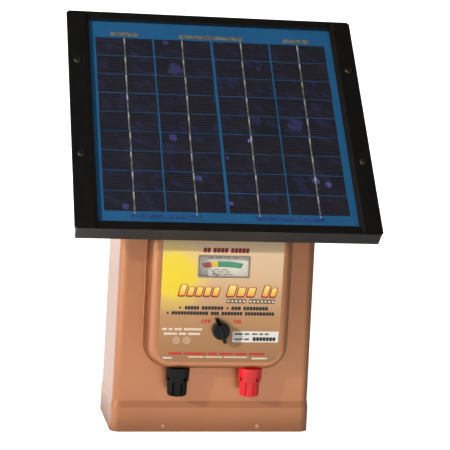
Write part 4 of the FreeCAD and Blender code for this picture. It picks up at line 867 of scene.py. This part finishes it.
def make_cap(colour):
    """Thumb nut: wide ribs between narrow grooves, rounded at the foot, with a blind bore for the stud."""
    name = colour + "_terminal_cap"
    low, high = span(name)
    centre = Vector(((low.x + high.x) / 2, (low.y + high.y) / 2, 0))
    foot, nose = low.z / MM, high.z / MM
    shoulder, top = foot + CAP_SHOULDER, foot + CAP_TOP

    def place(x, y, z):
        return centre + Vector((x, y, z)) * MM

    rings = [cap_ring(foot, CAP_RADIUS - 1.3, 1.3), cap_ring(foot + 0.35, CAP_RADIUS - 0.5, 1.7),
             cap_ring(foot + 1.2, CAP_RADIUS, CAP_GROOVE_DEPTH)]
    for k in range(1, 7):
        rings.append(cap_ring(foot + 1.2 + k * 2.0, CAP_RADIUS + 0.02 + 0.05 * k, CAP_GROOVE_DEPTH))
    rings += [cap_ring(shoulder, CAP_TOP_RADIUS - 0.05, 1.5), cap_ring(shoulder + 0.4, CAP_TOP_RADIUS, 0.5),
              cap_ring(shoulder + 0.6, CAP_TOP_RADIUS), cap_ring(top - 0.3, CAP_TOP_RADIUS),
              cap_ring(top, CAP_TOP_RADIUS - 0.3), cap_ring(top + 0.02, CAP_NOSE_RADIUS),
              cap_ring(nose, CAP_NOSE_RADIUS), cap_ring(nose, CAP_BORE_RADIUS),
              cap_ring(foot + CAP_CROWN, CAP_BORE_RADIUS)]
    bm = bmesh.new()
    add_turned(bm, rings, place)
    mesh = mesh_from(colour + "_thumb_nut", bm, 42.0)
    add_piece(mesh, colour + "_cap", MATERIALS["terminal_" + colour], name)


def make_pieces():
    make_text_lines()
    make_title()
    make_small_print()
    make_dial_print()
    make_cells()
    make_ribbons()
    make_cap("black")
    make_cap("red")


make_pieces()


# ------------------------------------------------------------------ floor, light and camera
# Patches of floor that glow in reflections only, in metres: x from and to, softness, y from and to, softness,
# brightness. They are left of the object, behind it on the left, in front, and close in front.
GLOW_PATCHES = (
    (-9.0, -0.13, 0.02, -1.0, 9.0, 0.2, 0.93),
    (-9.0, -0.10, 0.02, 0.08, 9.0, 0.06, 0.8),
    (-0.3, 0.5, 0.3, -9.0, -0.13, 0.05, 0.6),
    (-0.3, 0.3, 0.2, -0.45, -0.12, 0.05, 1.35),
)


def stage_glow(s):
    """Lifts the paper to white for the camera, and glows in patches for glossy reflections only."""
    path = s.node("ShaderNodeLightPath").outputs
    bright = 0.0
    for left, right, soft_x, near, far, soft_y, strength in GLOW_PATCHES:
        across = s.window(s.axis(0), left, right, soft_x)
        patch = s.math("MULTIPLY", across, s.window(s.axis(1), near, far, soft_y))
        bright = s.math("MAXIMUM", bright, s.math("MULTIPLY", patch, strength))
    reflected = s.math("MULTIPLY", path["Is Glossy Ray"], bright)
    return s.math("ADD", path["Is Camera Ray"], reflected)


def make_stage():
    """Pale floor that curves up into a backdrop behind the object."""
    mesh = bpy.data.meshes.new("stage_floor")
    half, near, back, radius, rise, steps = 6.0, -5.0, 3.2, 1.2, 4.0, 24
    bend = [math.pi / 2 * k / steps for k in range(steps + 1)]
    outline = [(near, 0.0)] + [(back + radius * math.sin(a), radius - radius * math.cos(a)) for a in bend]
    outline.append((back + radius, rise))
    points = [(side * half, y, z) for y, z in outline for side in (-1, 1)]
    faces = [(2 * k, 2 * k + 1, 2 * k + 3, 2 * k + 2) for k in range(len(outline) - 1)]
    mesh.from_pydata(points, [], faces)
    mesh.polygons.foreach_set("use_smooth", [True] * len(faces))
    floor = bpy.data.objects.new("stage_floor", mesh)
    bpy.context.scene.collection.objects.link(floor)
    s = Shader("stage_paper")
    base = s.ramp(s.noise(2.0, 3.0), [(0.3, (0.86, 0.86, 0.85)), (0.7, (0.90, 0.90, 0.89))])
    white = (1.0, 1.0, 1.0, 1.0)
    s.surface(Base_Color=base, Roughness=0.9, Emission_Color=white, Emission_Strength=stage_glow(s))
    floor.data.materials.append(s.material)


def make_light(name, place, target, power, size, colour=(1, 1, 1), shows=True):
    lamp = bpy.data.lights.new(name, "AREA")
    lamp.energy = power
    lamp.shape = "DISK"
    lamp.size = size
    lamp.color = colour
    holder = bpy.data.objects.new(name, lamp)
    bpy.context.scene.collection.objects.link(holder)
    holder.visible_glossy = shows
    holder.location = place
    holder.rotation_mode = "QUATERNION"
    holder.rotation_quaternion = (Vector(target) - Vector(place)).to_track_quat("-Z", "Y")


def make_world():
    """Even studio surround, bright at the height of the walls and dark overhead."""
    world = bpy.data.worlds.new("studio")
    world.use_nodes = True
    tree = world.node_tree
    coords = tree.nodes.new("ShaderNodeTexCoord")
    split = tree.nodes.new("ShaderNodeSeparateXYZ")
    ramp = tree.nodes.new("ShaderNodeValToRGB")
    ramp.color_ramp.elements[0].position = 0.25
    ramp.color_ramp.elements[0].color = (1, 1, 1, 1)
    ramp.color_ramp.elements[1].position = 0.75
    ramp.color_ramp.elements[1].color = (0.03, 0.03, 0.035, 1)
    tree.links.new(coords.outputs["Generated"], split.inputs[0])
    tree.links.new(split.outputs["Z"], ramp.inputs[0])
    tree.links.new(ramp.outputs[0], tree.nodes["Background"].inputs["Color"])
    tree.nodes["Background"].inputs["Strength"].default_value = 0.3
    return world


def make_lights():
    aim = (0, -0.03, 0.2)
    make_light("key_light", (-2.1, -1.62, 1.18), aim, 57.0, 0.1, (1.0, 0.97, 0.93))
    make_light("fill_light", (-0.6, -2.5, 1.3), aim, 13.0, 1.4)
    make_light("side_light", (-1.5, -0.5, 0.1), aim, 4.0, 1.0)
    make_light("low_light", (0.7, -2.2, 0.25), (0, -0.03, 0.05), 2.0, 0.8, shows=False)
    make_light("backdrop_light", (0.0, 1.7, 1.6), (0, 3.8, 0.4), 40.0, 2.0)
    bpy.context.scene.world = make_world()


def make_camera():
    """A long lens in front of the object and above it, to the left, with a slight roll."""
    place = Vector((-0.3051, -1.7508, 0.5325))
    yaw, pitch, roll = (math.radians(angle) for angle in (10.306, 9.921, 3.077))
    focal_in_frame_widths = 3.648
    forward = Vector((math.sin(yaw) * math.cos(pitch), math.cos(yaw) * math.cos(pitch), -math.sin(pitch)))
    level = Vector((math.cos(yaw), -math.sin(yaw), 0))
    upright = level.cross(forward)
    across = math.cos(roll) * level + math.sin(roll) * upright
    up = -math.sin(roll) * level + math.cos(roll) * upright
    data = bpy.data.cameras.new("photo_camera")
    data.sensor_width = 36.0
    data.lens = focal_in_frame_widths * data.sensor_width
    data.clip_start = 0.05
    data.clip_end = 50.0
    camera = bpy.data.objects.new("photo_camera", data)
    bpy.context.scene.collection.objects.link(camera)
    camera.matrix_world = Matrix.Translation(place) @ Matrix((across, up, -forward)).transposed().to_4x4()
    bpy.context.scene.camera = camera


make_stage()
make_lights()
make_camera()
bpy.context.scene.view_settings.view_transform = "Standard"
